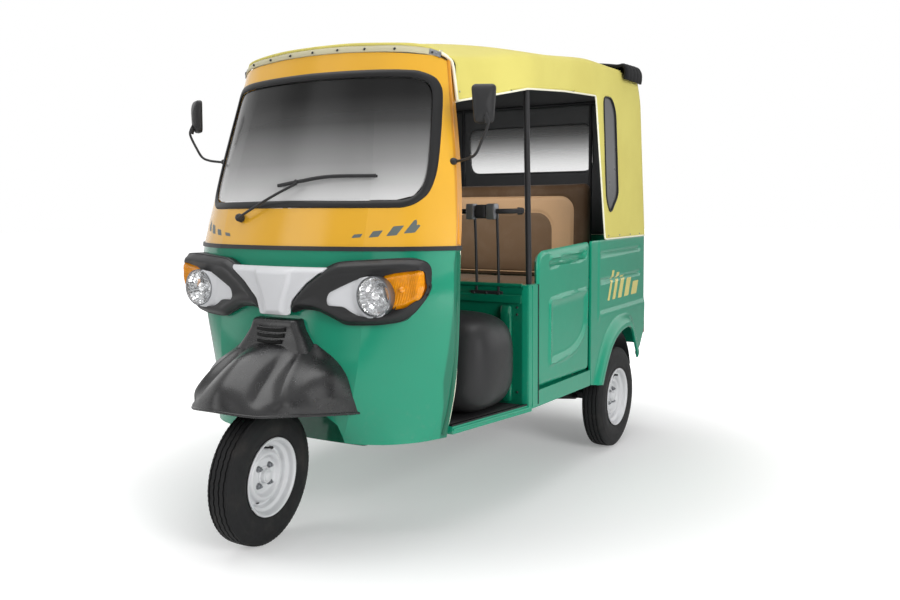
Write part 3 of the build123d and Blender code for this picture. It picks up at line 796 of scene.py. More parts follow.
def coated_cloth(name, colour, shadow, sheen=0.1, gloss=0.35):
    f = Finish(name)
    slow = f.noise(3.2, 4, 0.55).smooth_step(0.3, 0.7)
    toned = f.mix(slow * 0.5, colour, shadow)
    specks = f.noise(160, 4, 0.7).smooth_step(0.66, 0.8)
    soiled = f.mix(specks * 0.22, toned, tuple(c * 0.6 for c in shadow))
    height = woven(f, THREAD) * 0.25 + f.noise(5.5, 3) * 14
    return f.surface(Base_Color=soiled, Roughness=0.50 + f.noise(80, 3) * 0.12, Sheen_Weight=sheen,
        Specular_IOR_Level=gloss, Normal=f.bump(height, 0.22, 0.0008))


finishes["canopy_cloth"] = coated_cloth("canopy_cloth", screen(213, 203, 114), screen(200, 188, 102),
    0.02, 0.10)
finishes["black_cloth"] = coated_cloth("black_cloth", screen(34, 34, 35), screen(25, 25, 26), 0.0, 0.10)
finishes["black_cloth.lining"] = coated_cloth("lining_cloth", screen(74, 74, 75), screen(60, 60, 62),
    0.1)
finishes["canopy_cloth.strip"] = coated_cloth("strip_cloth", screen(196, 190, 160),
    screen(178, 172, 144), 0.02, 0.10)
finishes["canopy_cloth.piping"] = coated_cloth("piping_cloth", screen(240, 238, 218),
    screen(226, 222, 196))
print("thread of the weave:", THREAD * 1000, "mm")

# %% [markdown]
# ## Seat leathercloth
# The seats are covered with brown leathercloth in several shades. Its grain is a Voronoi pattern:
# cells for the pebbles and the distance to their edges for the creases between them.

# %% Leathercloth
def leathercloth(name, colour):
    f = Finish(name)
    return f.surface(Base_Color=leather_tone(f, colour), **leather_skin(f))


def leather_tone(f, colour):
    worn = f.noise(9, 4, 0.6).smooth_step(0.40, 0.72)
    return f.mix(worn * 0.35, colour, tuple(c * 1.35 + 0.01 for c in colour))


def leather_skin(f):
    pebble = f.node("TexVoronoi", {"feature": "DISTANCE_TO_EDGE"}, {"Vector": f.place(), "Scale": 230})
    crease = pebble.smooth_step(0.0, 0.25)
    height = crease + f.noise(40, 3) * 1.2
    return {"Roughness": 0.44 + f.noise(120, 3) * 0.14, "Sheen_Weight": 0.08, "Specular_IOR_Level": 0.4,
        "Normal": f.bump(height, 0.22, 0.0007)}


DARK_BROWN = screen(84, 62, 42)
TAN = screen(196, 158, 120)
MID_BROWN = screen(112, 88, 66)
finishes["seat_cloth"] = leathercloth("seat_cloth", DARK_BROWN)
finishes["seat_cloth.cushion"] = leathercloth("cushion_leather", MID_BROWN)
finishes["tan_cloth"] = leathercloth("tan_cloth", TAN)
print("with leathercloth:", len(finishes))

# %% [markdown]
# ## Glass and lenses
# The windscreen is painted dark at its top edge, as painted shade, and pale at its foot, as a painted
# reflection. This tone is a ramp of the height above the road, and the glass stays partly clear,
# so the cab can be seen through it. Lamp glass is quite clear, and the lenses are dyed plastic.

# %% Glass
# columns: place up the pane, tone on the screen
SCREEN_TONES = [(0.0, 226), (0.16, 184), (0.32, 142), (0.62, 64), (0.82, 24), (1.0, 10)]
REAR_TONES = [(0.0, 226), (0.30, 190), (0.70, 90), (1.0, 40)]


def shaded_glass(name, low, high, tones, clear, cover):
    """A painted tone from pale at height low, a painted reflection, to dark at height high, painted
    shade. The pane is clear at its foot and covers more towards its top."""
    f = Finish(name)
    _, _, z = f.axes()
    height = (z - low) / (high - low)
    pane_tone = f.node("ValToRGB", {"stops": [(place, screen(tone, tone, tone)) for place, tone in tones]},
        {"Fac": height})
    film = f.noise(3.1, 3) * 0.02
    covered = clear + height.smooth_step(0.0, 0.9) * (cover - clear)
    return f.surface(Base_Color=pane_tone, Roughness=0.22 + film, Alpha=covered + film, Coat_Weight=0.35,
        Coat_Roughness=0.10, Specular_IOR_Level=0.2)


# Both panes are painted dark at the top, as shade, and pale low down, as a reflection.
finishes["clear_glass"] = shaded_glass("clear_glass", 1.255, 1.765, SCREEN_TONES, 0.90, 0.93)
finishes["clear_glass.rear"] = shaded_glass("rear_glass", 1.44, 1.74, REAR_TONES, 0.12, 0.86)


def dark_pane():
    f = Finish("dark_pane")
    _, _, z = f.axes()
    stops = [(0.0, screen(56, 56, 58)), (0.45, screen(84, 84, 86)), (1.0, screen(62, 62, 64))]
    pane_tone = f.node("ValToRGB", {"stops": stops}, {"Fac": (z - 1.20) / 0.57})
    return f.surface(Base_Color=pane_tone, Roughness=0.24 + f.noise(20, 3) * 0.1, Alpha=0.985,
        Coat_Weight=0.2, Specular_IOR_Level=0.25)


finishes["clear_glass.side"] = dark_pane()


print("glass:", [key for key in finishes if "glass" in key])

# %% [markdown]
# ## Lenses, film and bright metal
# Lamp plastic is dyed and clear, so it passes light, and a little emission paints a glow into it,
# though the lamps are off. The reflector behind it is metal put on in a vacuum. Bare film is the
# paints above in other tones, and the rolled edges take darker copies of them: painted shade.

# %% Lenses, reflectors, film and paints with painted shade
def lens(name, colour, painted_glow, clear=0.55, rough=0.07):
    """Dyed lamp plastic: clear and glossy, with a little emission that paints a glow, as if lit."""
    f = Finish(name)
    depth = f.noise(60, 3).smooth_step(0.3, 0.7)
    deeper = tuple(c * 0.62 for c in colour)
    f.surface(Transmission_Weight=clear, IOR=1.45, Coat_Weight=0.4, Coat_Roughness=0.03,
        Emission_Strength=painted_glow)
    return f.surface(Base_Color=f.mix(depth * 0.5, colour, deeper), Emission_Color=colour,
        Roughness=rough + f.noise(25, 3) * 0.03, Normal=f.bump(f.noise(240, 2), 0.05, 0.0005))


# The amber and red lenses glow a little: painted light, though the lamps are off.
finishes["amber_lens"] = lens("amber_lens", screen(244, 162, 8), 0.07, 0.30)
finishes["red_lens"] = lens("red_lens", screen(176, 26, 20), 0.05)
finishes["lamp_glass"] = lens("lamp_glass", (0.97, 0.97, 0.97), 0.0, 0.97, 0.0)


def mirror_metal():
    """Vacuum-metallised reflector: bright, with a faint brushed drift."""
    f = Finish("reflector")
    tone = f.mix(f.noise(90, 3) * 0.5, (0.78, 0.79, 0.80), (0.50, 0.51, 0.52))
    return f.surface(Base_Color=tone, Metallic=1.0, Roughness=0.06 + f.noise(50, 2) * 0.06,
        Normal=f.bump(f.noise(140, 2), 0.08, 0.001))


finishes["silver_paint.reflector"] = mirror_metal()
finishes["yellow_paint.stripe"] = gloss_paint("stripe_film", screen(216, 204, 118), 0.2)
finishes["silver_plastic.stripe"] = satin_paint("stripe_grey", screen(96, 104, 102), 0.0, 0.34)
# Darker copies of the two gloss paints, which paint shade on rolled edges and shaded walls.
finishes["yellow_paint.painted_shade"] = gloss_paint("painted_shade_yellow_paint", screen(214, 142, 18), 0.2)
finishes["green_paint.painted_shade"] = gloss_paint("painted_shade_green_paint", screen(0, 98, 72), 0.2)
finishes["silver_paint.bolt"] = satin_paint("bolt_steel", screen(150, 152, 156), 0.8, 0.30)
print("finishes:", len(finishes))

# %% [markdown]
# ## Dress the CAD parts
# Most hard parts keep the shape that they have in CAD. Each one names the finish of its own record,
# and that name picks the material here.

# %% Materials on the carried-over nodes
slot_of = {part["node"]: part["material_slot"] for part in frame["record"]["subparts"]}
# The partition takes the darker green, which paints the shade inside the cab.
special = {"rear_window": "clear_glass.rear", "quarter_windows": "clear_glass.side",
    "front_cowl": "green_paint.nose_painted_hem_shade", "windscreen_frame": "yellow_paint.nose_painted_hem_shade",
    "partition": "green_paint.painted_shade"}
for node, thing in nodes.items():
    chosen = finishes[special.get(node, slot_of[node])]
    thing.data.materials.clear()
    thing.data.materials.append(chosen)
    for place in thing.material_slots:
        place.material = chosen
print("dressed", len(nodes), "nodes")

# %% [markdown]
# # The hood
# The hood is one large sheet of coated cloth, pulled over tubes. It is easiest to see as a strip
# that runs back along the left side, round the rear corner and across the back: every column of the
# grid goes up from the hem to the shoulder, and then over the roof to the ridge. The right half is
# its mirror image. The front edge follows the bow of the windscreen frame.

# %% Sizes of the hood
# columns: y, low_x at z 1.0, shoulder_x, shoulder_z, crown_z
HOOD = mm((-760, 620, 500, 1822, 1866), (-500, 640, 510, 1820, 1902), (-380, 668, 582, 1828, 1928),
    (-160, 697, 668, 1866, 1958), (500, 702, 680, 1934, 1992), (1340, 702, 684, 1945, 1996))
# columns: z, y of the rear wall
REAR_WALL = mm((900, 1308), (1100, 1300), (1800, 1240), (1945, 1172))
REAR_TOP_Z = 1.945
HEM_Z = 1.084
HOOD_FRONT_Y, BOW_END_X = -0.498, 0.485
# Between the bows, which stand BOW_STEP apart from FIRST_BOW_Y on, the cloth hangs by SAG.
SAG, FIRST_BOW_Y, BOW_STEP = 0.004, -0.14, 0.66
# Behind DROP_Y the roof falls by DROP metres a metre.
DROP_Y, DROP = 1.182, 0.60
TURN_Y = 1.08
CORNER_R = 0.050


def hood_row(y):
    """The hood's sizes at y, straight between the rows of HOOD and then eased over 60 mm each way."""
    spread = np.asarray(y)[..., None] + np.linspace(-0.06, 0.06, 7)
    return [np.interp(spread, HOOD[:, 0], HOOD[:, k]).mean(axis=-1) for k in range(1, 5)]


def hood_side_x(y, z):
    """The side of the hood leans in, in a straight line from low_x at z 1.0 to the shoulder."""
    low_x, shoulder_x, shoulder_z, _ = hood_row(y)
    return low_x + (shoulder_x - low_x) * (z - 1.0) / (shoulder_z - 1.0)


def rear_wall_y(z):
    return np.interp(z, REAR_WALL[:, 0], REAR_WALL[:, 1])


def roof_z(x, y):
    """The roof is an arc of a circle through both shoulders and the crown, and drops near its rear end.
    Between the three bows the cloth hangs a few millimetres lower."""
    _, half, shoulder_z, crown_z = hood_row(y)
    rise = crown_z - shoulder_z
    radius = (half ** 2 + rise ** 2) / (2 * rise)
    arc = crown_z - radius + np.sqrt(np.maximum(radius ** 2 - x ** 2, 0))
    slack = SAG * np.sin(np.pi * np.clip((y - FIRST_BOW_Y) / BOW_STEP, 0, 2)) ** 2
    return np.minimum(arc - slack, REAR_TOP_Z + (DROP_Y - y) * DROP)


print("roof crown at y 0.5:", round(float(roof_z(0.0, np.array(0.5))), 3))

# %% [markdown]
# Bow, seal, strip and stripes all lie on the nose, so its surface is worked out here. At each height
# it is one arc over the middle and a tighter one round each corner, as in the CAD model.

# %% Surface of the nose
# columns: z, apex_y, knee_x, knee_y, mid_x, mid_y, corner_x, corner_y, edge_x, edge_y
NOSE = mm((375, -915, 255, -908, 410, -860, 525, -735, 560, -655),
    (600, -965, 330, -922, 470, -820, 598, -690, 604, -654),
    (850, -938, 350, -895, 505, -822, 627, -705, 631, -670),
    (1101, -925, 350, -884, 505, -812, 633, -700, 636, -666),
    (1450, -822, 330, -785, 480, -710, 585, -612, 580, -571),
    (1790, -721, 280, -690, 420, -632, 510, -543, 505, -500),
    (1870, -697, 268, -667, 406, -614, 492, -527, 487, -484))


def circle_y(x, a, b, c):
    """The y of the circle through three points of a plan, at x, on its front side."""
    (ax, ay), (bx, by), (cx, cy) = a, b, c
    d = 2 * (ax * (by - cy) + bx * (cy - ay) + cx * (ay - by))
    squares = [px ** 2 + py ** 2 for px, py in (a, b, c)]
    ux = (squares[0] * (by - cy) + squares[1] * (cy - ay) + squares[2] * (ay - by)) / d
    uy = (squares[0] * (cx - bx) + squares[1] * (ax - cx) + squares[2] * (bx - ax)) / d
    radius = np.hypot(ax - ux, ay - uy)
    return uy - np.sqrt(np.maximum(radius ** 2 - (x - ux) ** 2, 0))


def nose_y(x, z):
    """The front shell's surface: at height z, one arc over the middle and one round each corner."""
    x = np.abs(x)
    apex, kx, ky, mx, my, cx, cy, ex, ey = (np.interp(z, NOSE[:, 0], NOSE[:, k]) for k in range(1, 10))
    middle = circle_y(x, (kx, ky), (0 * kx, apex), (-kx, ky))
    corner = circle_y(x, (cx, cy), (mx, my), (kx, ky))
    return np.where(x < kx, middle, np.where(x < cx, corner, cy + (ey - cy) * (x - cx) / (ex - cx)))


print("tip of the nose at z 0.6:", round(float(nose_y(0.0, 0.6)), 3))

# %% [markdown]
# The cut-outs of the hood are drawn flat. On the side they are outlines in y and z, at the back in
# x and z. Cells inside them are left out, and the rim of what stays moves onto the outline, so the
# edge is smooth. Where wall and roof meet, neighbouring points are averaged a few times, which
# rounds the fold as stretched cloth does.

# %% Wall of the hood
SIDE_OPENING = rounded(mm((-900, 900), (-900, 1600), (-566, 1640), (-165, 1725), (195, 1752),
    (550, 1768), (650, 1072), (650, 900)), 0.012)
SIDE_WINDOW = rounded(mm((650, 1768), (672, 1280), (725, 1207), (838, 1300), (812, 1715), (760, 1776),
    (690, 1776)), 0.035)
BACK_WINDOW = rounded(mm((-395, 1440), (395, 1440), (395, 1705), (-395, 1705)), 0.060)
SIDE_COLUMNS, BEND_COLUMNS, BACK_COLUMNS = 118, 12, 46
WALL_ROWS, ROOF_ROWS = 62, 40
FOLD_PASSES = 7
# From NARROWING_Y forwards the hood narrows towards the bow, and its side leans back below LEAN_Z.
NARROWING_Y, LEAN_Z, LEAN = -0.16, 1.79, 0.209
BOW_Z, BOW_GAP = 1.845, 0.010
WALL_RUN, ROOF_RUN = 0.84, 0.69


def hood_wall():
    """Points of the wall: side columns keep their y, then a short straight, a quarter turn of radius
    CORNER_R about the rear corner, and the back, where x falls to the middle of the vehicle."""
    side = np.linspace(HOOD_FRONT_Y, TURN_Y, SIDE_COLUMNS)
    rise = np.linspace(0, 1, WALL_ROWS)
    top = hood_row(side)[2]
    z = HEM_Z + (top - HEM_Z)[:, None] * rise
    y = np.broadcast_to(side[:, None], z.shape)
    lean = np.clip(LEAN_Z - z, -0.04, 0.2) * LEAN * soft(-y, -NARROWING_Y, 0.49)
    y = y - lean
    flat_side = join(y, z)
    height = HEM_Z + (REAR_TOP_Z - HEM_Z) * rise
    half, back = hood_side_x(np.array(1.2), height), rear_wall_y(height)
    reach = np.linspace(0, 1, BEND_COLUMNS + 1)[1:]
    run = np.clip(reach / 0.3, 0, 1)[:, None]
    turn = np.clip((reach - 0.3) / 0.7, 0, 1)[:, None] * np.pi / 2
    start = back - CORNER_R
    bend_x = half - CORNER_R + CORNER_R * np.cos(turn)
    bend = join(bend_x, TURN_Y + (start - TURN_Y) * run + CORNER_R * np.sin(turn), height)
    share = np.linspace(1, 0, BACK_COLUMNS + 1)[1:, None]
    flat_back = join((half - CORNER_R) * share, height)
    return flat_side, bend, flat_back


def hood_sheet():
    """The left half of the hood, as one grid of columns from the hem to the ridge."""
    flat_side, bend, flat_back = hood_wall()
    keep = np.ones((SIDE_COLUMNS + BEND_COLUMNS + BACK_COLUMNS - 1, WALL_ROWS + ROOF_ROWS - 1), bool)
    for flat, first, outlines in ((flat_side, 0, (SIDE_OPENING, SIDE_WINDOW)),
                                  (flat_back, SIDE_COLUMNS + BEND_COLUMNS, (BACK_WINDOW,))):
        middle = (flat[1:, 1:] + flat[:-1, :-1]) / 2
        part = np.logical_and.reduce([nearest_on(outline, middle)[0] > 0 for outline in outlines])
        keep[first:first + len(part), :WALL_ROWS - 1] = part
        flat[:] = snap_rim(flat, part, outlines, beyond="edge")
    y, z = flat_side[..., 0], flat_side[..., 1]
    side = join(hood_side_x(y, z), y, z)
    x, z = flat_back[..., 0], flat_back[..., 1]
    back = join(x, rear_wall_y(z), z)
    wall = np.concatenate([side, bend, back])
    return keep, fold_softly(np.concatenate([wall, hood_roof(wall[:, -1])], axis=1)), flat_of(wall)


in_window = nearest_on(BACK_WINDOW, hood_wall()[2])[0] < 0
print("points of the wall inside half the back window:", int(in_window.sum()))

# %% [markdown]
# Each column then runs on over the roof to the ridge. Averaging the rows beside the shoulder a few
# times rounds that fold, and the distances along and up the sheet become its weave coordinates.

# %% Roof, fold and weave
def hood_roof(shoulder):
    """Roof rows from each shoulder point to the ridge. Near the front each row is pulled forward to the
    windscreen frame's bow."""
    columns = len(shoulder)
    ridge_y = shoulder[:, 1].copy()
    bent = np.linspace(0, 1, columns - SIDE_COLUMNS + 1)[1:]
    ridge_y[SIDE_COLUMNS:] = TURN_Y + (rear_wall_y(REAR_TOP_Z) - TURN_Y) * bent
    share = np.linspace(0, 1, ROOF_ROWS + 1)[1:]
    x = shoulder[:, None, 0] * (1 - share)
    y = shoulder[:, None, 1] + (ridge_y - shoulder[:, 1])[:, None] * share
    forward = nose_y(np.minimum(x, BOW_END_X), BOW_Z) + BOW_GAP - HOOD_FRONT_Y
    y = y + np.minimum(forward, 0) * np.clip((NARROWING_Y - y) / (NARROWING_Y - HOOD_FRONT_Y), 0, 1)
    return join(x, y, roof_z(x, y))


def fold_softly(points):
    """Average the rows near the fold with their neighbours: quarter, half, quarter, several times."""
    first, last = WALL_ROWS - 12, WALL_ROWS + 12
    for _ in range(FOLD_PASSES):
        near = points[:, first - 1:last + 1]
        points[:, first:last] = (near[:, :-2] + 2 * near[:, 1:-1] + near[:, 2:]) / 4
    return points


def flat_of(wall):
    """Weave coordinates in metres: the distance along the wall, and the distance up each column."""
    along = np.cumsum(np.linalg.norm(np.diff(wall[:, -1], axis=0, prepend=wall[:1, -1]), axis=1))
    up = np.linspace(0, WALL_RUN + ROOF_RUN, WALL_ROWS + ROOF_ROWS)
    return join(along[:, None], up[None])


print("rows averaged at the fold:", FOLD_PASSES, "times")

# %% [markdown]
# The half sheet and its mirror image are merged along the ridge. Solidify then gives the cloth its
# thickness, and shows a grey lining on its inner side.

# %% The hood as an object
keep, cloth, weave = hood_sheet()
half_hood = Shape().grid(cloth, keep=keep, outward=(1, 0, 1), flat=weave)
hood = piece("canopy_hood", half_hood.both_sides(), "canopy_cloth", replaces=["canopy"], closed=False,
    thick=0.0035, crease=60, lining="black_cloth.lining")
print("hood faces:", len(hood.data.polygons))

# %% [markdown]
# ## Trim of the hood
# Every edge of the hood is bound with pale piping, which here is a thin tube along the very outline
# that cut the cloth. At the front, a pale strip screwed to the windscreen frame's bow clamps the
# hood, and a bracket closes it at each corner. A folded black curtain, ribbed along its length,
# lies over the rear top edge.

# %% Piping along the cut edges
PIPING_R = 0.0042


def on_side(points, out=0.0):
    """Points (y, z) carried onto the side of the hood, pushed outwards by out."""
    y, z = points[:, 0], points[:, 1]
    return join(hood_side_x(y, z) + out, y, z)


def open_run(points, step=0.02):
    """A polyline resampled at even steps."""
    gaps = np.linalg.norm(np.diff(points, axis=0), axis=1)
    place = np.concatenate([[0], np.cumsum(gaps)])
    even = np.linspace(0, place[-1], max(int(place[-1] / step), 8))
    return np.stack([np.interp(even, place, points[:, k]) for k in range(points.shape[1])], axis=-1)


edge_of_door = open_run(mm((-535, 1647), (-165, 1725), (195, 1752), (542, 1767), (553, 1750),
    (648, 1088), (664, 1084), (1228, 1084)), 0.012)
corner_turn = np.linspace(0, np.pi / 2, 9)[1:]
hem_half = hood_side_x(np.array(1.2), HEM_Z)
hem_back = rear_wall_y(HEM_Z)
hem = join(hem_half - CORNER_R + CORNER_R * np.cos(corner_turn),
    hem_back - CORNER_R + CORNER_R * np.sin(corner_turn), HEM_Z)
hem = np.concatenate([on_side(edge_of_door), hem, [[0.3, hem_back, HEM_Z], [0.0, hem_back, HEM_Z]]])
piping = sweep(hem, ring_profile(PIPING_R, 8), up=(0.2, 0.1, 1))
piece("hood_piping", piping.both_sides(), "canopy_cloth.piping", crease=60)


def closed_run(outline, step):
    """A closed outline resampled at even steps, without a second copy of its first point."""
    return open_run(np.concatenate([outline, outline[:1]]), step)[:-1]


side_rim = on_side(closed_run(SIDE_WINDOW, 0.014), 0.001)
dark_rims = sweep(side_rim, ring_profile(0.0046, 8), up=(1, 0, 0), loop=True).both_sides()
back_run = closed_run(BACK_WINDOW, 0.02)
back_rim = join(back_run[:, 0], rear_wall_y(back_run[:, 1]) + 0.001, back_run[:, 1])
dark_rims.add(sweep(back_rim, ring_profile(0.006, 8), up=(0, 1, 0), loop=True))
piece("hood_window_rims", dark_rims, "seal_rubber", crease=60)
print("piping runs", len(hem), "points")

# %% [markdown]
# The clamp strip and the welts under it follow the windscreen frame's bow, so they all come from
# one function that gives a point of the bow. The strip is a sheet of five lines along it. Each
# screw is a low dome, and a bent plate closes the strip at each corner.

# %% Clamp strip, its screws and the corner brackets
FRAME_BOW = mm((0, 1842), (150, 1841), (280, 1835), (395, 1829), (450, 1823), (488, 1814))
STRIP_SCREWS_X = np.linspace(-0.47, 0.47, 9)


def on_bow(x, up=0.0, out=0.0):
    """A point of the frame's bow at x, raised by up and pushed forward by out."""
    x = np.asarray(x, float)
    z = np.interp(np.abs(x), FRAME_BOW[:, 0], FRAME_BOW[:, 1]) + up
    return join(x, nose_y(x, z) - out, z)


bow_x = np.linspace(-0.492, 0.492, 81)
strip = Shape()
# rows: how far each line of the strip lies up the nose, and how far it stands off it
lift, proud = mm((-1, 2, 11, 21, 26), (1, 6, 7, 4, -2))
strip.grid(np.stack([on_bow(bow_x, a, b) for a, b in zip(lift, proud)]), outward=(0, -1, 0.5))
piece("hood_clamp_strip", strip, "canopy_cloth.strip", closed=False, thick=0.003, bevel=0.0008)


def dome(centre, axis, radius, height, sides=12):
    """The head of a screw or rivet: a turned quarter oval."""
    return turned(cap_profile(height, radius, 6), centre, axis, sides)


screws = Shape()
for x in STRIP_SCREWS_X:
    screws.add(dome(on_bow(x, 0.011, 0.009), (0, -1, 0.35), 0.0055, 0.004))
piece("hood_strip_screws", screws, "black_paint")

bracket = Shape()
corner_path = mm((462, 4, 9), (474, 3, 10), (486, 0, 10), (494, -4, 9))
corner = np.stack([on_bow(corner_path[:, 0], corner_path[:, 1] + lift_by, corner_path[:,
    2]) for lift_by in (0, 0.020)])
bracket.grid(corner, outward=(1, -1, 0))
bracket.add(dome(on_bow(0.482, 0.010, 0.011), (0.3, -0.9, 0.2), 0.005, 0.003))
piece("hood_corner_brackets", bracket.both_sides(), "silver_paint.bolt", closed=False, thick=0.003,
    bevel=0.001)

FRONT_WELT = mm((0, 30), (150, 30), (280, 30), (395, 30), (450, 27), (480, 20))
welt_top = np.concatenate([on_bow(x, lift_by, 0.0) for x, lift_by in FRONT_WELT]).reshape(-1, 3)
SIDE_WELT = mm((503, -512, 1812), (516, -510, 1785), (531, -521, 1730), (548, -533, 1648))
welt_top = welt_top + (0, 0.006, 0)
piece("hood_front_welt", tube(welt_top, 0.0068, 10, 60).both_sides(), "canopy_cloth", crease=60)
side_welt = tube(np.concatenate([welt_top[-1:], SIDE_WELT]), 0.0068, 10, 40)
piece("hood_side_welts", side_welt.both_sides(), "canopy_cloth.piping", crease=60)
print("clamp strip quads:", strip.quads(), "with", len(STRIP_SCREWS_X), "screws")

# %% [markdown]
# The rear curtain is folded into a flat band over the hood's rear edge. It is a sheet across the
# roof with five ribs, hanging a little over each shoulder, and Solidify gives it the thickness of
# the folded cloth. Small studs along the hem hold the hood to the body.

# %% The folded curtain and the hem studs
CURTAIN_Y, CURTAIN_END_Z = (0.895, 1.152), 1.884
CURTAIN_RIBS, RIB_HEIGHT, CURTAIN_PROUD = 5, 0.0030, 0.016


def curtain_band():
    """A band that lies across the roof and hangs over its shoulder. Each line of it is a smooth curve
    through points a little off the hood, and the ribs are a wave across it, raised along the curve's
    own outward direction."""
    y = np.linspace(*CURTAIN_Y, 41)
    roof = [[np.full(41, x), y, roof_z(x, y) + CURTAIN_PROUD] for x in (0.655, 0.58, 0.40, 0.20, 0.0)]
    hanging = [(0.7045, CURTAIN_END_Z), (0.7080, 1.912), (0.7055, 1.940), (0.6880, 1.966)]
    side = [[np.full(41, x), y, np.minimum(z, roof[0][2] + 0.002)] for x, z in hanging]
    lines = curve_through(np.array(side + roof).transpose(0, 2, 1), 60)
    along = np.gradient(lines, axis=0)
    outward = np.cross(along, (0, 1, 0))
    outward /= np.linalg.norm(outward, axis=-1, keepdims=True)
    outward *= np.sign(outward[..., 2:3] + outward[..., 0:1])
    share = np.linspace(0, 1, 41)
    rib = RIB_HEIGHT * np.abs(np.sin(np.pi * CURTAIN_RIBS * share)) ** 0.6
    edge = 0.006 * (1 - (2 * share - 1) ** 8)
    return lines + outward * (rib + edge)[None, :, None]


curtain = Shape().grid(curtain_band(), outward=(0.3, 0, 1)).both_sides()
piece("rear_curtain", curtain, "black_cloth", replaces=["curtain_roll"], closed=False, thick=0.014,
    bevel=0.003, crease=50)
HEM_STUDS = mm((700, 1100), (860, 1098), (1020, 1097), (1170, 1096), (577, 1640), (612, 1380),
    (-500, 1688), (-420, 1705))
studs = Shape()
for spot in on_side(np.array(HEM_STUDS), 0.0005):
    studs.add(dome(spot, (1, 0, 0.05), 0.0045, 0.0028))
for x in (0.10, 0.30, 0.50):
    studs.add(dome((x, hem_back + 0.0005, 1.098), (0, 1, 0), 0.0045, 0.0028))
piece("hood_studs", studs.both_sides(), "silver_paint.bolt")
print("curtain quads:", curtain.quads())

# %% [markdown]

# %% [markdown]
# # The face
# The black mask, the lamps and the silver panel are layers over the green nose. Their front follows
# one gentle curve across the vehicle, y = face + x^2 / (2 R), so each piece is an outline in x and
# z carried onto that curve, with a relief of its own.

# %% The curve of the face
FACE_Y, FACE_R = -0.968, 1.53
LAMP_AT = (0.431, 0.935)


def face_y(x, out=0.0):
    """The mask's curve at x, pushed forward by out."""
    return FACE_Y + x ** 2 / (2 * FACE_R) - out


def face_place(relief):
    """Carries (x, z) onto the face: y is the curve, less the relief at that place."""
    return lambda u, v: (u, face_y(u) - relief(u, v), v)


PANEL = rounded(mirrored(mm((70, 853), (76, 880), (86, 912), (150, 975), (236, 1034))), 0.010)
PANEL_RAISED = rounded(mirrored(mm((50, 850), (56, 900), (90, 985), (96, 1030))), 0.010)


def panel_relief(x, z):
    """Proud of the face, with a raised middle between two creases, and a top edge rolled back."""
    raised = 0.010 * pressed(x, z, PANEL_RAISED, 0.022)
    roll = 0.020 * soft(z, 1.012, 1.036) ** 2
    return 0.010 + raised - roll


nose_panel = trimmed(PANEL, face_place(panel_relief), 0.006, outward=(0, -1, 0))
piece("nose_panel", nose_panel, "silver_plastic", replaces=["grille_panel"], closed=False, thick=0.012,
    bevel=0.0015, crease=50)
print("nose panel quads:", nose_panel.quads())

# %% [markdown]
# The mask's front is a moulded skin. It bulges along its upper edge, and it turns back all round so
# that it meets the green shell, which is a wall from its outline to the shell's own surface. It has
# two openings on each side: the lamp and its silver bezel share one, and the indicator has its own.

# %% Mask
MASK = rounded(mm((228, 1034), (275, 1054), (400, 1062), (527, 1068), (588, 1062), (607, 1040),
    (606, 985), (594, 930), (550, 872), (500, 842), (423, 830), (351, 827), (300, 826), (238, 855),
    (185, 876), (112, 879), (68, 858), (78, 912), (145, 978)), 0.022)
BEZEL = rounded(mm((353, 996), (286, 966), (239, 944), (229, 918), (233, 893), (299, 891), (328, 872),
    (358, 858), (408, 856), (470, 866), (500, 900), (500, 960), (465, 996), (410, 1008)), 0.014)
LENS_OUTLINE = rounded(mm((446, 1006), (493, 1018), (584, 1030), (596, 1024), (597, 965), (585, 930),
    (535, 895), (480, 885), (460, 930)), 0.012)
TUCK_IN = 0.052


def mask_relief(x, z):
    """A crown along the upper edge and one over the lower edge, and all edges rolled back by a soft
    radius; past the corner of the nose the mask wraps round with the shell."""
    gap = gap_to(MASK, x, z)
    rolled = 0.016 * soft(gap, -0.018, 0.0) ** 1.5
    brow = 0.010 * np.exp(-((gap + 0.024) / 0.014) ** 2)
    wrap = 0.2 * np.maximum(x - 0.560, 0) ** 2 / 0.05
    return 0.004 + brow - rolled - wrap


def mask_point(x, z, depth=0.0):
    return x, face_y(x) - mask_relief(x, z) + depth, z


def outline_wall(front, back, rows=3, outward=None):
    """A wall from an outline's front points to its back points, in a few straight rows."""
    share = np.linspace(0, 1, rows)[:, None, None]
    points = front * (1 - share) + back * share
    return Shape().grid(points, wrap=(False, True), outward=outward)


def stacked(outline, y_of):
    x, z = outline[:, 0], outline[:, 1]
    return join(x, y_of(x, z), z)


mask = trimmed(MASK, mask_point, 0.007, holes=[BEZEL, LENS_OUTLINE], outward=(0, -1, 0))
mask_front = stacked(MASK, lambda x, z: mask_point(x, z)[1])
tucked = MASK - join(TUCK_IN * soft(MASK[:, 0], 0.48, 0.60), np.zeros(len(MASK)))
mask_back = stacked(tucked, lambda x, z: np.maximum(nose_y(x, z) + 0.004, mask_point(x, z)[1]))
mask_walls = outline_wall(mask_front, mask_back)
for hole in (BEZEL, LENS_OUTLINE):
    rim = stacked(hole, lambda x, z: mask_point(x, z)[1])
    mask_walls.add(outline_wall(rim, rim + (0, 0.030, 0)))
lamp_mask = piece("lamp_mask_shell", mask.both_sides(), "black_plastic", replaces=["lamp_mask"],
    closed=False, thick=0.003, bevel=0.001, crease=55)
piece("lamp_mask_walls", mask_walls.both_sides(), "black_plastic", closed=False, thick=0.0025,
    crease=50)
print("mask faces:", len(lamp_mask.data.polygons))

# %% [markdown]
# ## Headlamps
# A headlamp is a metal bowl behind clear glass. The bowl is a parabola turned about its axis, with
# fine flutes round it that break up the reflection, and a bulb with its cap stands in the middle.
# The lens is a shallow cap of a sphere, held by a bright ring. The silver bezel fills the rest of
# the mask's opening.

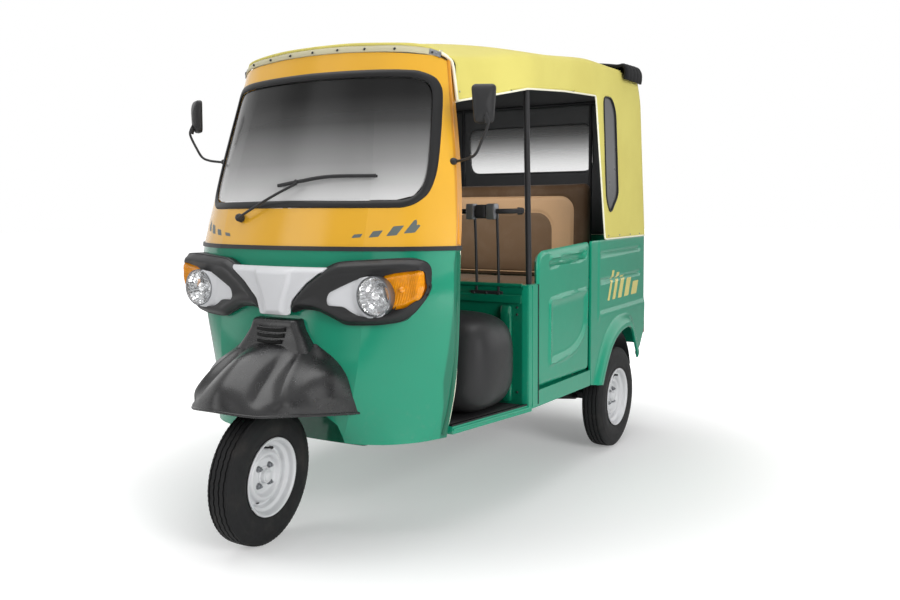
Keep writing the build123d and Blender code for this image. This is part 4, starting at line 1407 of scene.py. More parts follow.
# %% Headlamps
LENS_R, BOWL_DEPTH, LAMP_Y = 0.070, 0.058, -0.936
FLUTES = 28
BACKWARDS = (0, 1, 0)


def headlamp():
    centre = np.array((LAMP_AT[0], LAMP_Y, LAMP_AT[1]))
    radius = np.linspace(0.004, LENS_R - 0.003, 16)
    bowl_profile = join(BOWL_DEPTH * (1 - (radius / LENS_R) ** 2), radius)

    def flute(angle, k):
        """The radius rises and falls as the flutes pass, and three steps ring the bowl."""
        ring = radius[k]
        flutes = 0.0030 * (ring / LENS_R) * np.cos(FLUTES * angle)
        return flutes + 0.0009 * np.cos(2 * np.pi * ring / 0.018)

    bowl = turned(bowl_profile, centre, BACKWARDS, 112, flute)
    bulb = turned(mm((58, 0), (58, 9), (36, 9), (34, 13), (24, 13), (20, 9), (17, 0)), centre,
        BACKWARDS, 24)
    shield = turned(cap_profile(-0.008, 0.019, 8, 0.014), centre, BACKWARDS, 24)
    lens_cap = turned(cap_profile(-0.014, LENS_R, 12), centre, BACKWARDS)
    ring = turned([(0.006, LENS_R - 0.002), (-0.003, LENS_R - 0.001), (-0.005, LENS_R + 0.001), (-0.004,
        LENS_R + 0.0025), (0.004, LENS_R + 0.003), (0.030, LENS_R + 0.003)], centre, BACKWARDS)
    return bowl, bulb.add(shield), lens_cap, ring


bowl, bulb, lens_cap, ring = headlamp()
piece("headlamp_bowls", bowl.both_sides(), "silver_paint.reflector", closed=False,
    replaces=["headlamps"], crease=25)
piece("headlamp_bulbs", bulb.both_sides(), "silver_paint.reflector")
piece("headlamp_rings", ring.both_sides(), "silver_paint.bolt", closed=False, thick=0.001)
piece("headlamp_glass", lens_cap.both_sides(), "lamp_glass", closed=False, thick=0.0015)

LAMP_HOLE = oval(LAMP_AT, (LENS_R + 0.002, LENS_R + 0.002), 56)


def bezel_relief(x, z):
    """The bezel lies a little behind the mask, and rises to meet the lamp's ring as a short collar."""
    gap = gap_to(LAMP_HOLE, x, z)
    collar = 1 - soft(gap, 0.0, 0.030)
    target = face_y(x) - (LAMP_Y + 0.004)
    return (target + 0.006) * collar


bezel = trimmed(BEZEL, face_place(bezel_relief), 0.006, holes=[LAMP_HOLE], outward=(0, -1, 0))
piece("headlamp_bezels", bezel.both_sides(), "silver_plastic", closed=False, thick=0.003, bevel=0.001,
    crease=55)
print("headlamp bowl quads:", bowl.quads())

# %% [markdown]
# ## Indicators
# Each indicator is an amber lens that wraps round the corner of the nose. Inside the real one, fine
# prisms spread the light; here they are ribs in the lens's own surface, strongest in its middle,
# over an orange reflector.

# %% Indicators
PRISM_STEP = 0.0085


def indicator_relief(x, z):
    gap = gap_to(LENS_OUTLINE, x, z)
    edge = 0.012 * soft(-gap, 0.0, 0.016)
    prisms = 0.0011 * np.cos(2 * np.pi * (x - 0.25 * z) / PRISM_STEP) * soft(-gap, 0.006, 0.016)
    bulge = 0.010 * soft(x, 0.54, 0.585)
    return edge + prisms + bulge - 0.004


indicator = trimmed(LENS_OUTLINE, face_place(indicator_relief), 0.0024, outward=(0, -1, 0))
piece("indicator_lenses", indicator.both_sides(), "amber_lens", closed=False, replaces=["indicators"],
    thick=0.002, crease=60)
socket = trimmed(LENS_OUTLINE, face_place(lambda u, v: -0.026 + 0.010 * np.cos(40 * (u - 0.5))), 0.010,
    outward=(0, -1, 0))
# The reflectors and bulbs take the amber lens finish, with its painted glow.
piece("indicator_reflectors", socket.both_sides(), "amber_lens", closed=False, thick=0.001)
amber_bulb = turned(cap_profile(-0.016, 0.012), (0.520, -0.884, 0.960), BACKWARDS, 20)
piece("indicator_bulbs", amber_bulb.both_sides(), "amber_lens", closed=False)
print("indicator quads:", indicator.quads())

# %% [markdown]
# ## Front mudguard
# The mudguard is one moulding of grained plastic that hangs from the nose. A central swell runs
# down its front, with a hollow on each side, and its flanks spread into two pointed wings. The
# shape is a smooth surface through a few spines, each running from the neck down to the lip. Above
# it stands a short neck with three air slots.

# %% Mudguard surface
# Each spine runs from the neck to the lip. columns: x, y, z
GUARD_SPINES = [mm((0, -950, 752), (0, -1045, 732), (0, -1160, 678), (0, -1258, 608), (0, -1300, 545)),
    mm((60, -950, 752), (72, -1040, 732), (98, -1150, 670), (122, -1243, 600), (131, -1276, 541)),
    mm((110, -950, 750), (130, -1026, 716), (166, -1126, 646), (190, -1192, 578), (198, -1212, 533)),
    mm((150, -946, 750), (180, -992, 716), (236, -1066, 656), (252, -1112, 590), (250, -1122, 524)),
    mm((172, -942, 748), (226, -958, 706), (282, -994, 652), (302, -1020, 580), (300, -1026, 512)),
    mm((182, -932, 745), (252, -925, 700), (300, -924, 638), (324, -906, 562), (338, -894, 496))]
# columns: z, half width at the shell, y of the front
NECK_RINGS = mm((706, 212, -1012), (735, 188, -1004), (768, 163, -992), (800, 138, -986),
    (822, 127, -984), (835, 121, -974), (839, 112, -945))
NECK_BACK_Y = -0.932
# columns: height, half width
SLOT_ROWS = mm((796, 68), (774, 64), (752, 58))
# The relief across the guard. columns: place from the middle, spread, height
GUARD_WAVES = mm((0, 82, 30), (158, 45, -26), (232, 24, 12), (298, 30, -8))


def guard_surface():
    """The net of spines, mirrored across the middle, as a smooth surface. A swell, a hollow and a
    crease are added along its normals, as bell curves across it that grow from the neck down. Its
    lip turns under."""
    half = np.array(GUARD_SPINES)
    net = np.concatenate([half[:0:-1] * (-1, 1, 1), half])
    smooth = net_through(net, 49, 161)
    across, down = np.gradient(smooth, axis=0), np.gradient(smooth, axis=1)
    normal = np.cross(across, down)
    normal /= np.maximum(np.linalg.norm(normal, axis=-1, keepdims=True), 1e-9)
    normal *= np.sign(normal[:, :, 2:3] - normal[:, :, 1:2])
    spread = np.linspace(0, 1, smooth.shape[1])[None, :]
    place = np.abs(smooth[..., 0]) / (0.55 + 0.45 * spread)
    wave = sum(height * np.exp(-((place - middle) / width) ** 2) for middle, width,
        height in GUARD_WAVES)
    smooth = smooth + normal * (wave * soft(spread, 0.05, 0.55) * (1 - 0.65 * soft(spread, 0.70,
        1.0)))[..., None]
    lip = smooth[:, -1:]
    inward = lip * (0.955, 1, 1) + (0, 0.010, -0.006)
    return np.concatenate([smooth, inward], axis=1)


def neck_surface():
    """Rings of a soft box at rising heights: y goes from the shell to the front and back again."""
    across = np.linspace(-1, 1, 41)
    z, half, front = (np.array(column)[:, None] for column in zip(*NECK_RINGS))
    edge = np.clip((np.abs(across) - 0.70) / 0.30, 0, 1)
    bow = 0.008 * (1 - across ** 2)
    y = front - bow + (NECK_BACK_Y - front + bow) * edge ** 2.6
    rings = join(half * across * (1 - 0.10 * edge ** 3), y, z)
    return curve_through(rings, 25)


print("spines of the mudguard:", len(GUARD_SPINES), "on each side of the middle")

# %% [markdown]
# The skin gets the wall of a moulding and a round bead along its lip. The neck is a second skin, and
# each air slot is a near-black bar under a raised brow, which paints the shade inside the opening.

# %% Mudguard, neck and slots
guard = Shape().grid(guard_surface(), outward=(0, -1, 1))
piece("front_mudguard_shell", guard, "black_plastic.guard", replaces=["front_mudguard"], closed=False,
    thick=0.0045, bevel=0.0015, crease=50)
lip_line = guard_surface()[:, -2]
piece("mudguard_lip", sweep(lip_line, ring_profile(0.0052, 10), up=(0, 0, 1)), "black_plastic.guard",
    crease=60)
piece("mudguard_neck", Shape().grid(neck_surface(), outward=(0, -1, 0.3)), "black_plastic.guard",
    closed=False, thick=0.004, bevel=0.001, crease=50)

slots, brows = Shape(), Shape()
for height, half_width in SLOT_ROWS:
    x = np.linspace(-half_width, half_width, 25)
    dip = 0.004 * (x / half_width) ** 2
    y = np.interp(height, *np.array(NECK_RINGS)[:, [0, 2]].T) - 0.008 * (1 - (x / 0.14) ** 2)
    run = join(x, y - 0.0012, height + dip)
    slots.add(sweep(run, oblong(0.004, 0.0062, 0.003)))
    brows.add(sweep(run + (0, -0.0030, 0.0085), ring_profile(0.0028, 10)))
# The near-black bars paint the shade inside the slots.
piece("mudguard_slot_shades", slots, "black_plastic.slot_shade", crease=60)
piece("mudguard_slot_brows", brows, "black_plastic.guard", crease=60)
print("mudguard points:", guard.count)

# %% [markdown]
# Behind the front wheel a bowed sheet hangs from the floor. It keeps the spray off the body, and it
# is what is seen through the wheel arch.

# %% Splash apron
APRON = rounded(mirrored(mm((215, 306), (255, 330), (255, 405))), 0.020)
APRON_Y, APRON_BOW = -0.712, 0.20
apron = trimmed(APRON, lambda u, v: (u, APRON_Y + APRON_BOW * u ** 2, v), 0.008, outward=(0, -1, 0))
# The apron takes the darker green, which paints the shade under the mudguard.
piece("front_splash_apron", apron, "green_paint.painted_shade", closed=False, thick=0.003, bevel=0.0008)
print("apron points:", apron.count)

# %% [markdown]
# # Wheels
# Three equal wheels carry the vehicle. The tyre has straight ribs with fine zigzag grooves between
# them, a rounded shoulder, and rings moulded into its side. It is a profile turned round the axle,
# and the zigzag comes from moving each groove sideways by a wave of the angle.

# %% Tyre
TYRE_R = 0.2588
GROOVES = (-0.030, -0.0105, 0.0105, 0.030)
GROOVE_HALF, GROOVE_DEPTH = 0.0024, 0.0060
ZIGZAGS, TYRE_SIDES = 44, 176
TREAD_HALF = 0.040
AXLE_Z = 0.259
REAR_X, REAR_Y, FRONT_Y = 0.6525, 0.845, -1.07485


def tyre_profile():
    """Half of the section: bead, sidewall with two rings, shoulder. columns: x, radius"""
    wall = curve_through(mm((44, 146), (50, 158), (54.8, 180), (56, 203), (53, 226), (47, 243),
        (40.5, 253.5)), 34)
    rings = 0.0011 * (np.exp(-((wall[:, 1] - 0.166) / 0.0022) ** 2) + np.exp(-((wall[:,
        1] - 0.226) / 0.0020) ** 2))
    wall[:, 0] += rings + 0.0006 * np.exp(-((wall[:, 1] - 0.196) / 0.012) ** 2)
    return wall


def tread_stations():
    """Across the tread: four points at each groove, so that its walls are steep."""
    edges = np.array([-GROOVE_HALF - 0.0006, -GROOVE_HALF + 0.0006, GROOVE_HALF - 0.0006,
        GROOVE_HALF + 0.0006])
    marks = np.concatenate([centre + edges for centre in GROOVES])
    between = [-TREAD_HALF, -0.0355, -0.0205, 0.0, 0.0205, 0.0355, TREAD_HALF]
    return np.sort(np.concatenate([marks, between]))


def tyre():
    """Both walls and the tread as one turned profile. Then the grooves are shifted to and fro, and the
    shoulders are nicked, by how far round each point is."""
    wall = tyre_profile()
    x = tread_stations()
    gap = np.abs(x[:, None] - np.array(GROOVES)).min(axis=1)
    crown = TYRE_R - 3.4 * np.maximum(np.abs(x) - 0.010, 0) ** 2
    radius = crown - GROOVE_DEPTH * (gap < GROOVE_HALF)
    tread = join(x, radius)
    profile = np.concatenate([wall * (-1, 1), tread, wall[::-1]])
    first, last = len(wall), len(wall) + len(tread)
    made = turned(profile, sides=TYRE_SIDES)
    points = made.points[0].reshape(TYRE_SIDES, len(profile), 3)
    angle = np.linspace(0, 2 * np.pi, TYRE_SIDES, endpoint=False)
    saw = 0.0012 * np.sign(np.sin(ZIGZAGS * angle))
    points[:, first + 2:last - 2, 0] += saw[:, None]
    sipe = 0.0016 * (np.cos(ZIGZAGS * 2 * angle) > 0.8)
    shrink = 1 - sipe[:, None, None] * np.array([0, 1, 1]) / TYRE_R
    points[:, first - 3:first + 2] *= shrink
    points[:, last - 2:last + 3] *= shrink
    made.points[0] = points.reshape(-1, 3)
    return made


def axle_frame(centre, axis):
    """The matrix that carries a wheel built about the X axis onto an axle."""
    along = Vector(axis).normalized()
    across = Vector((0, 0, 1)).cross(along).normalized()
    rise = along.cross(across)
    turned_axes = Matrix((along, across, rise)).transposed().to_4x4()
    return Matrix.Translation(centre) @ turned_axes


print("tread points across:", len(tread_stations()))

# %% [markdown]
# The wheel is pressed from steel in two pieces. The rim has a rolled flange and a drop in its
# middle, and the disc is dished, with a raised ring, four nuts on studs, a dust cap over the
# bearing, and a hole for the valve.

# %% Rim, nuts, cap and valve
# columns: x (outwards), radius
RIM_FACE = mm((50.5, 149), (54.5, 147), (54.5, 142.5), (51.5, 138.5), (46, 135), (34, 132), (30, 129),
    (27, 122.5), (24.5, 118), (18, 114.5), (11, 112), (8, 108), (12, 100), (22, 93.5), (26.2, 88),
    (26.2, 81), (22, 76), (13, 70), (9, 64), (9, 56), (10, 40), (10, 34))
RIM_BACK = mm((50.5, 149), (46, 140), (34, 136), (20, 118), (-20, 118), (-34, 136), (-46, 140),
    (-54.5, 149), (-56, 146), (-54, 140), (-46, 132), (-36, 130), (-22, 113), (6, 110))
NUT_RING_R, NUTS = 0.0460, 4
RIM_SIDES = 96


def rim():
    """The seen face of the wheel, and everything behind it."""
    face = turned(curve_through(RIM_FACE, 88), sides=RIM_SIDES)
    back = turned(RIM_BACK, sides=RIM_SIDES)
    inner = turned(mm((6, 110), (5, 104), (6, 70), (4, 60), (4, 30)), sides=RIM_SIDES)
    return face, back.add(inner)


def hub():
    """A stepped boss with a domed dust cap."""
    step = mm((4, 35), (13, 35), (15, 33.5), (16, 28), (28, 26.5), (30, 25))
    return turned(np.concatenate([step, cap_profile(0.0085, 0.0215, 8, 0.0300)]), sides=48)


def nuts():
    """Six-sided nuts on round studs, each with a washer."""
    made = Shape()
    for k in range(NUTS):
        angle = math.radians(45) + 2 * math.pi * k / NUTS
        spot = (0, NUT_RING_R * math.cos(angle), NUT_RING_R * math.sin(angle))
        made.add(turned(mm((8, 12.5), (11.5, 12.5), (12, 11.8), (12, 0)), spot, (1, 0, 0), 24))
        made.add(turned(mm((12, 9.8), (20.5, 9.8), (22.2, 8.2), (22.2, 0)), spot, (1, 0, 0), 6))
        made.add(turned(mm((22, 4.8), (27.5, 4.8), (29, 3.6), (29, 0)), spot, (1, 0, 0), 16))
    return made


def valve():
    """A rubber stem with a cap, out of the well towards the viewer."""
    stem = tube(mm((12, 0, 108), (26, 0, 109), (40, 0, 113)), 0.0042, 12, 10)
    return stem.add(turned(mm((36, 0), (36, 5.2), (50, 5), (52, 3.5), (52, 0)), (0, 0, 0.113),
        (1, 0, 0), 14))


# Dark lids paint the shade of the disc's vent holes, which are not cut.
SHADED_VENT_COUNT, SLOT_RING_R = 8, 0.1035


def vent_shades():
    """Dark ovals on the disc between its raised ring and the rim: painted shade in place of holes."""
    made = Shape()
    for k in range(SHADED_VENT_COUNT):
        angle = 2 * math.pi * (k + 0.5) / SHADED_VENT_COUNT
        turn = np.array([[1, 0, 0], [0, math.cos(angle), -math.sin(angle)], [0, math.sin(angle),
            math.cos(angle)]])
        ring = oval((0.0, SLOT_RING_R), (0.0090, 0.0042), 20)
        depth = 0.0125 - 0.9 * (ring[:, 1] - SLOT_RING_R)
        points = join(depth, ring[:, 0], ring[:, 1])
        made.lid((points + (0.0006, 0, 0)) @ turn.T)
    return made


print("rim profile points:", len(RIM_FACE) + len(RIM_BACK))

# %% [markdown]
# All three wheels are the same, so each piece is made once about its own axle and then carried to
# its place. The front axle is turned with the steering, as it stands at rest.

# %% Three wheels
# columns: name, body, tyre node, rim node, centre, axle direction
WHEELS = [("front", "front_wheel", "front_tyre", "front_rim", (0.00301, FRONT_Y, 0.25893),
    (0.99396, 0.10025, -0.04463)), ("rear_left", "rear_wheel_left", "rear_tyre_left", "rear_rim_left",
    (REAR_X, REAR_Y, AXLE_Z), (1, 0, 0)), ("rear_right", "rear_wheel_right", "rear_tyre_right",
    "rear_rim_right", (-REAR_X, REAR_Y, AXLE_Z), (-1, 0, 0))]
for place, body, tyre_node, rim_node, centre, axis in WHEELS:
    carry = axle_frame(centre, axis)
    piece(f"{place}_tyre_tread", tyre().moved(carry), "tyre_rubber", body, [tyre_node], crease=40)
    face, back = rim()
    piece(f"{place}_rim_face", face.add(hub()).moved(carry), "silver_paint", body, [rim_node],
        closed=False, crease=50)
    piece(f"{place}_rim_back", back.moved(carry), "silver_paint", body, closed=False, crease=50)
    piece(f"{place}_wheel_nuts", nuts().moved(carry), "silver_paint.bolt", body, crease=30)
    piece(f"{place}_valve", valve().moved(carry), "seal_rubber", body)
    piece(f"{place}_rim_vent_shades", vent_shades().moved(carry), "seal_rubber", body, closed=False)
print("wheels dressed:", [place for place, *_ in WHEELS])

# %% [markdown]
# # Doors and rear quarters
# The doors and the quarters are pressed sheet. A press leaves soft-edged relief: a raised panel on
# the door, a slot for the hand, grooves and a flared arch on the quarter. Each panel is an outline
# in y and z, and its relief is a sum of soft steps, each inside an outline of its own.

# %% Door
SIDE_X, FLARE, DOOR_SUNK = 0.690, 0.027, 0.0065
SIDES = (("left", np.eye(4)), ("right", np.diag((-1, 1, 1, 1))))
DOOR = rounded(mm((-95, 480), (490, 462), (492, 1078), (-95, 1058)),
    [[0.045], [0.030], [0.020], [0.070]])
DOOR_PANEL = rounded(mm((14, 548), (300, 556), (462, 640), (468, 862), (20, 850)), [[0.030], [0.120],
    [0.120], [0.030], [0.035]], 8)
HAND_SLOT = rounded(mm((20, 985), (440, 998), (462, 1040), (30, 1022)), 0.020)


def door_relief(y, z):
    """A raised panel with its middle sunk again, a hand slot with a lip over it, and a rolled edge
    that turns in all round, so that the door's outline reads as a dark line."""
    panel = pressed(y, z, DOOR_PANEL, 0.010)
    sunk = pressed(y, z, DOOR_PANEL, 0.048)
    slot = pressed(y, z, HAND_SLOT, 0.010)
    lip = pressed(y, z - 0.016, HAND_SLOT, 0.012)
    gap = gap_to(DOOR, y, z)
    edge = 0.009 * soft(gap, -0.011, 0.0)
    return 0.0090 * panel - 0.0120 * sunk + 0.0080 * lip - 0.0210 * slot - edge


def side_place(relief, x=SIDE_X):
    """Carries (y, z) onto the flat side at x, pushed out by the relief at that place."""
    return lambda u, v: (x + relief(u, v), u, v)


door_skin = trimmed(DOOR, side_place(door_relief, SIDE_X - DOOR_SUNK), 0.0088, outward=(1, 0, 0))
for side, matrix in SIDES:
    piece(f"door_{side}_skin", door_skin.moved(matrix), "green_paint", f"door_{side}_body",
        [f"door_{side}"], closed=False, thick=0.020, bevel=0.002, crease=55)
print("door quads:", door_skin.quads())

# %% [markdown]
# The rear quarter is one pressing from the door to the rear corner. Its arch flares out over the
# wheel, which the relief does with the distance to the arch: full height at the edge, and nothing a
# hand's breadth away. Two grooves stiffen the flat part.

# %% Rear quarters
ARCH = curve_through(mm((585, 340), (603, 364), (640, 424), (684, 486), (750, 552), (850, 597),
    (950, 612), (1010, 606), (1050, 572), (1092, 502), (1138, 424), (1150, 400)), 60)
ARCH_HOLE = np.concatenate([ARCH, [(1.150, 0.300), (0.585, 0.300)]])
FLARE_OUTER = rounded(mm((522, 340), (524, 376), (566, 536), (590, 645), (700, 680), (900, 688),
    (1160, 676), (1225, 600), (1245, 470), (1160, 420), (1100, 300)), 0.05)
QUARTER = rounded(mm((498, 380), (610, 364), (700, 364), (1130, 424), (1160, 428), (1238, 470),
    (1306, 560), (1310, 720), (1303, 1080), (498, 1080)), 0.012)
GROOVES_AT = mm((1013, 630, 1235), (878, 630, 1240))
RIDGE_Y = 0.600


def quarter_relief(y, z):
    """Soft steps: an upright ridge behind the door, two long grooves, and the flare, which is full at
    the arch's edge and fades out over the width of the flare."""
    ridge = 0.006 * np.exp(-((y - RIDGE_Y) / 0.010) ** 2) * soft(z, 0.66, 0.72)
    behind = -0.006 * soft(y, RIDGE_Y, RIDGE_Y + 0.016) * soft(z, 0.70, 0.74)
    cut = 0.0
    for height, start, end in GROOVES_AT:
        inside = soft(y, start - 0.01, start + 0.02) * (1 - soft(y, end - 0.02, end + 0.01))
        cut = cut - 0.010 * np.exp(-((z - height - 0.010 * (y - 0.9)) / 0.007) ** 2) * inside
    away = gap_to(ARCH_HOLE, y, z)
    within = pressed(y, z, FLARE_OUTER, 0.030)
    flare = FLARE * (1 - soft(away, 0.018, 0.085)) * within
    return ridge + behind * (1 - within) + cut * (1 - within) + flare


quarter_skin = trimmed(QUARTER, side_place(quarter_relief), 0.0096, holes=[ARCH_HOLE],
    outward=(1, 0, 0))
for side, matrix in SIDES:
    piece(f"quarter_{side}_skin", quarter_skin.moved(matrix), "green_paint", "root",
        [f"quarter_panel_{side}"], closed=False, thick=0.012, bevel=0.0015, crease=55)
print("quarter quads:", quarter_skin.quads())

# %% [markdown]
# # Windscreen surround
# A thick rubber seal holds the windscreen. It is one soft profile carried round the opening, on the
# curved surface of the nose. The opening is almost a rectangle, with large corners below and
# smaller ones above, so the path is drawn in x and z and then laid on the nose.

# %% Windscreen seal
SCREEN_HALF = mm((0, 1254), (240, 1252), (420, 1251), (470, 1254), (505, 1270), (530, 1300),
    (541, 1345), (543, 1400), (538, 1480), (528, 1580), (517, 1665), (507, 1701), (487, 1732),
    (451, 1751), (406, 1759), (235, 1765), (0, 1768))
SEAL_INSET = 0.0115


def nose_point(x, z, out=0.0):
    """A point of the nose surface, pushed forward by out."""
    return join(x, nose_y(x, z) - out, z)


half_run = curve_through(SCREEN_HALF, 90)
whole_run = np.concatenate([half_run, half_run[::-1][1:-1] * (-1, 1)])
seal_profile = rounded(mm((-14, -6), (-15, 2), (-9, 7), (0, 8.5), (8, 6), (14, 1), (13, -7)), 0.004, 3)


def seal_ring(run):
    """The profile stands on the nose: across it towards the middle, and outwards along -Y."""
    step = np.roll(run, -1, axis=0) - np.roll(run, 1, axis=0)
    step /= np.linalg.norm(step, axis=1, keepdims=True)
    inward = join(-step[:, 1], step[:, 0])
    across = run[:, None] + inward[:, None] * (seal_profile[None, :, :1] + SEAL_INSET)
    x, z = across[..., 0], across[..., 1]
    return join(x, nose_y(x, z) - seal_profile[None, :, 1], z)


seal = Shape().grid(seal_ring(whole_run), wrap=(True, True))
piece("windscreen_rubber", seal, "seal_rubber", replaces=["windscreen_seal"], crease=60)
print("seal quads:", seal.quads())

# %% [markdown]
# The wiper lies on the glass: a tapered arm from its pivot, and a blade of a steel spine and a
# rubber strip. Both are sweeps along points of the nose's surface, lifted off it a little.

# %% Wiper
WIPER_PIVOT = nose_point(-0.245, 1.211)
arm_path = [nose_point(-0.245, 1.211, 0.026), nose_point(-0.170, 1.246, 0.030),
    nose_point(-0.060, 1.298, 0.028), nose_point(0.040, 1.343, 0.022)]
blade_path = [nose_point(-0.056, 1.336, 0.010), nose_point(0.045, 1.350, 0.013),
    nose_point(0.180, 1.366, 0.013), nose_point(0.365, 1.366, 0.010)]
wiper = tube(arm_path, 0.0052, 10, 30)
spine = curve_through(blade_path, 40)
steel_section = rounded(mm((-3, -6), (3, -6), (4, 3), (0, 8), (-4, 3)), 0.002, 2)
rubber_section = rounded(mm((-1.5, -6), (1.5, -6), (2.5, 4), (-2.5, 4)), 0.001, 2)
wiper.add(sweep(spine + (0, -0.006, 0), steel_section), sweep(spine + (0, 0.004, 0), rubber_section))
wiper.add(turned(mm((-4, 0), (-4, 17), (20, 16), (27, 12), (30, 0)), WIPER_PIVOT, (0, -1, 0.25), 28))
wiper.add(turned(mm((0, 0), (0, 8), (10, 8), (10, 0)), spine[12] + (0, -0.002, 0), (0, -1, 0.2), 16))
piece("wiper_arm_and_blade", wiper, "black_plastic", replaces=["wiper"], crease=50)
print("wiper points:", wiper.count)

# %% [markdown]
# ## Mirrors
# Each mirror is a plastic shell on a thin bent rod. The shell is a soft trapezoid that bulges at
# the back, and the glass sits in its rear face, towards the driver.

# %% Mirrors
MIRROR_AT, MIRROR_TURN = (0.723, -0.644, 1.618), math.radians(-30)
HEAD = rounded(mm((-36, -70), (36, -70), (46, 70), (-46, 70)), 0.020, 8)


def mirror_head():
    """Rings of the trapezoid, from the glass edge round the rim to the bulged front."""
    turn = np.linspace(0, np.pi / 2, 9)
    scale = np.concatenate([[0.90, 0.97, 1.0], np.cos(turn[1:])])
    depth = np.concatenate([[0.012, 0.013, 0.008], -0.024 * np.sin(turn[1:])])
    rings = join(HEAD[None, :, 0] * scale[:, None], depth[:, None], HEAD[None, :, 1] * scale[:, None])
    return rings


head = Shape().grid(mirror_head(), wrap=(False, True))
glass_ring = join(HEAD[:, 0] * 0.905, 0.0105, HEAD[:, 1] * 0.905)
to_place = Matrix.Translation(MIRROR_AT) @ Matrix.Rotation(-MIRROR_TURN, 4, "Z")
shell_head = head.moved(to_place)
mirror_glass = Shape().lid(glass_ring).moved(to_place)
rod_run = mm((578, -618, 1416), (612, -632, 1419), (660, -644, 1426), (694, -653, 1442),
    (722, -660, 1486), (748, -664, 1535), (748, -662, 1560), (728, -652, 1600))
rods = tube(rod_run, 0.0052, 12, 60)
rods.add(turned(mm((-6, 0), (-6, 15), (6, 14), (18, 9), (22, 0)), (0.581, -0.624, 1.417),
    (1.0, -0.5, 0.1), 24))
rods.add(turned(mm((-12, 0), (-12, 9), (16, 8), (18, 0)), (0.742, -0.659, 1.556), (-0.3, 0.1, 1), 18))
# The right-hand mirror is set a little higher and closer in than the left-hand one.
to_right = Matrix.Translation((0.014, 0.0, 0.034)) @ Matrix.Diagonal((-1, 1, 1, 1))
MIRROR_PIECES = ((shell_head, "mirror_shells", "black_plastic"), (rods, "mirror_rods", "black_plastic"),
    (mirror_glass, "mirror_glass", "silver_paint.reflector"))
for shape, name, finish in MIRROR_PIECES:
    other = shape.moved(to_right)
    piece(name, shape.add(other), finish, replaces=["mirrors"] if name == "mirror_shells" else (),
        closed=name == "mirror_rods", crease=50)
print("mirrors at x", MIRROR_AT[0])

# %% [markdown]
# # Seats
# A cushion is foam in a sewn cover: its faces crown, its edges stay round, and its sides pull in
# between the corners. The foam's pressure is simulated: the cover is remeshed into small even
# faces, Cloth blows it up for twenty frames without gravity, and no point may travel further than a
# cap. The result is kept as a plain mesh. Seams and channels are pressed in afterwards.

# %% Stuffing a cushion
CLOTH_QUALITY, FOAM_STIFFNESS = 4, 12


def block(low, high, radius, step=0.02):
    """A box with rounded edges: points of a unit cube's six sides are pushed to a box shrunk by the
    radius, plus the radius times their outward direction."""
    low, high = np.array(low, float), np.array(high, float)
    made = Shape()
    for axis in range(3):
        for side in (-1, 1):
            a, b = [k for k in range(3) if k != axis]
            counts = [max(int((high[k] - low[k]) / step), 6) for k in (a, b)]
            steps = [np.linspace(-1, 1, n + 1) for n in counts]
            grid = np.stack(np.meshgrid(*steps, indexing="ij"), axis=-1)
            unit = np.zeros((*grid.shape[:2], 3))
            unit[..., a], unit[..., b], unit[..., axis] = grid[..., 0], grid[..., 1], side
            half = (high - low) / 2
            spot = unit * half
            core = np.clip(spot, -(half - radius), half - radius)
            away = spot - core
            length = np.maximum(np.linalg.norm(away, axis=-1, keepdims=True), 1e-9)
            direction = np.zeros(3)
            direction[axis] = side
            made.grid((low + high) / 2 + core + away / length * radius, outward=direction)
    return made


print("a small block has", block((0, 0, 0), (0.1, 0.1, 0.1), 0.02).quads(), "quads")

# %% [markdown]
# Foam pushes its cover outwards, most in the middle of a face. Cloth with pressure shows that, and a
# cap on the travel keeps the cushion inside its frame.

# %% Foam pressure
def blown_up(made, cap, frames=20, pressure=4.0):
    """Run Cloth on a piece, then move each point by what it travelled, at most the cap."""
    before = points_of(made.data)
    cloth = made.modifiers.new("foam", "CLOTH")
    cloth.settings.quality = CLOTH_QUALITY
    cloth.settings.use_pressure = True
    cloth.settings.uniform_pressure_force = pressure
    cloth.settings.effector_weights.gravity = 0
    cloth.settings.tension_stiffness = cloth.settings.compression_stiffness = FOAM_STIFFNESS
    for frame_number in range(1, frames + 1):
        bpy.context.scene.frame_set(frame_number)
    after = points_of(made.evaluated_get(bpy.context.evaluated_depsgraph_get()).data)
    made.modifiers.remove(cloth)
    bpy.context.scene.frame_set(1)
    moved = after - before
    length = np.maximum(np.linalg.norm(moved, axis=1, keepdims=True), 1e-9)
    made.data.vertices.foreach_set("co", (before + moved * np.minimum(1, cap / length)).ravel())
    made.data.update()


def points_of(mesh):
    points = np.empty(len(mesh.vertices) * 3)
    mesh.vertices.foreach_get("co", points)
    return points.reshape(-1, 3)


print("foam is simulated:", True)

# %% [markdown]
# Remeshing gives even faces, which both the foam and the seams need. The seams are pressed in last,
# so that the foam cannot blow them out again.

# %% One cushion, from block to pad
def cushion(name, shape, finish, replaced, voxel, cap, grooves):
    """A stuffed piece: remesh, blow up, press the grooves, smooth once by subdivision."""
    made = piece(name, shape, finish, replaces=replaced)
    remesh = made.modifiers.new("even", "REMESH")
    remesh.mode = "VOXEL"
    remesh.voxel_size = voxel
    even = bpy.data.meshes.new_from_object(made.evaluated_get(bpy.context.evaluated_depsgraph_get()))
    made.modifiers.remove(remesh)
    even.name = name
    even.materials.clear()
    even.materials.append(finishes[finish])
    made.data = even
    blown_up(made, cap)
    points = points_of(even)
    normals = np.empty(len(points) * 3)
    even.vertices.foreach_get("normal", normals)
    even.vertices.foreach_set("co", (points + normals.reshape(-1, 3) * grooves(points)[:,
        None]).ravel())
    even.polygons.foreach_set("use_smooth", np.ones(len(even.polygons), bool))
    smooth = made.modifiers.new("smooth", "SUBSURF")
    smooth.levels = smooth.render_levels = 1
    return made


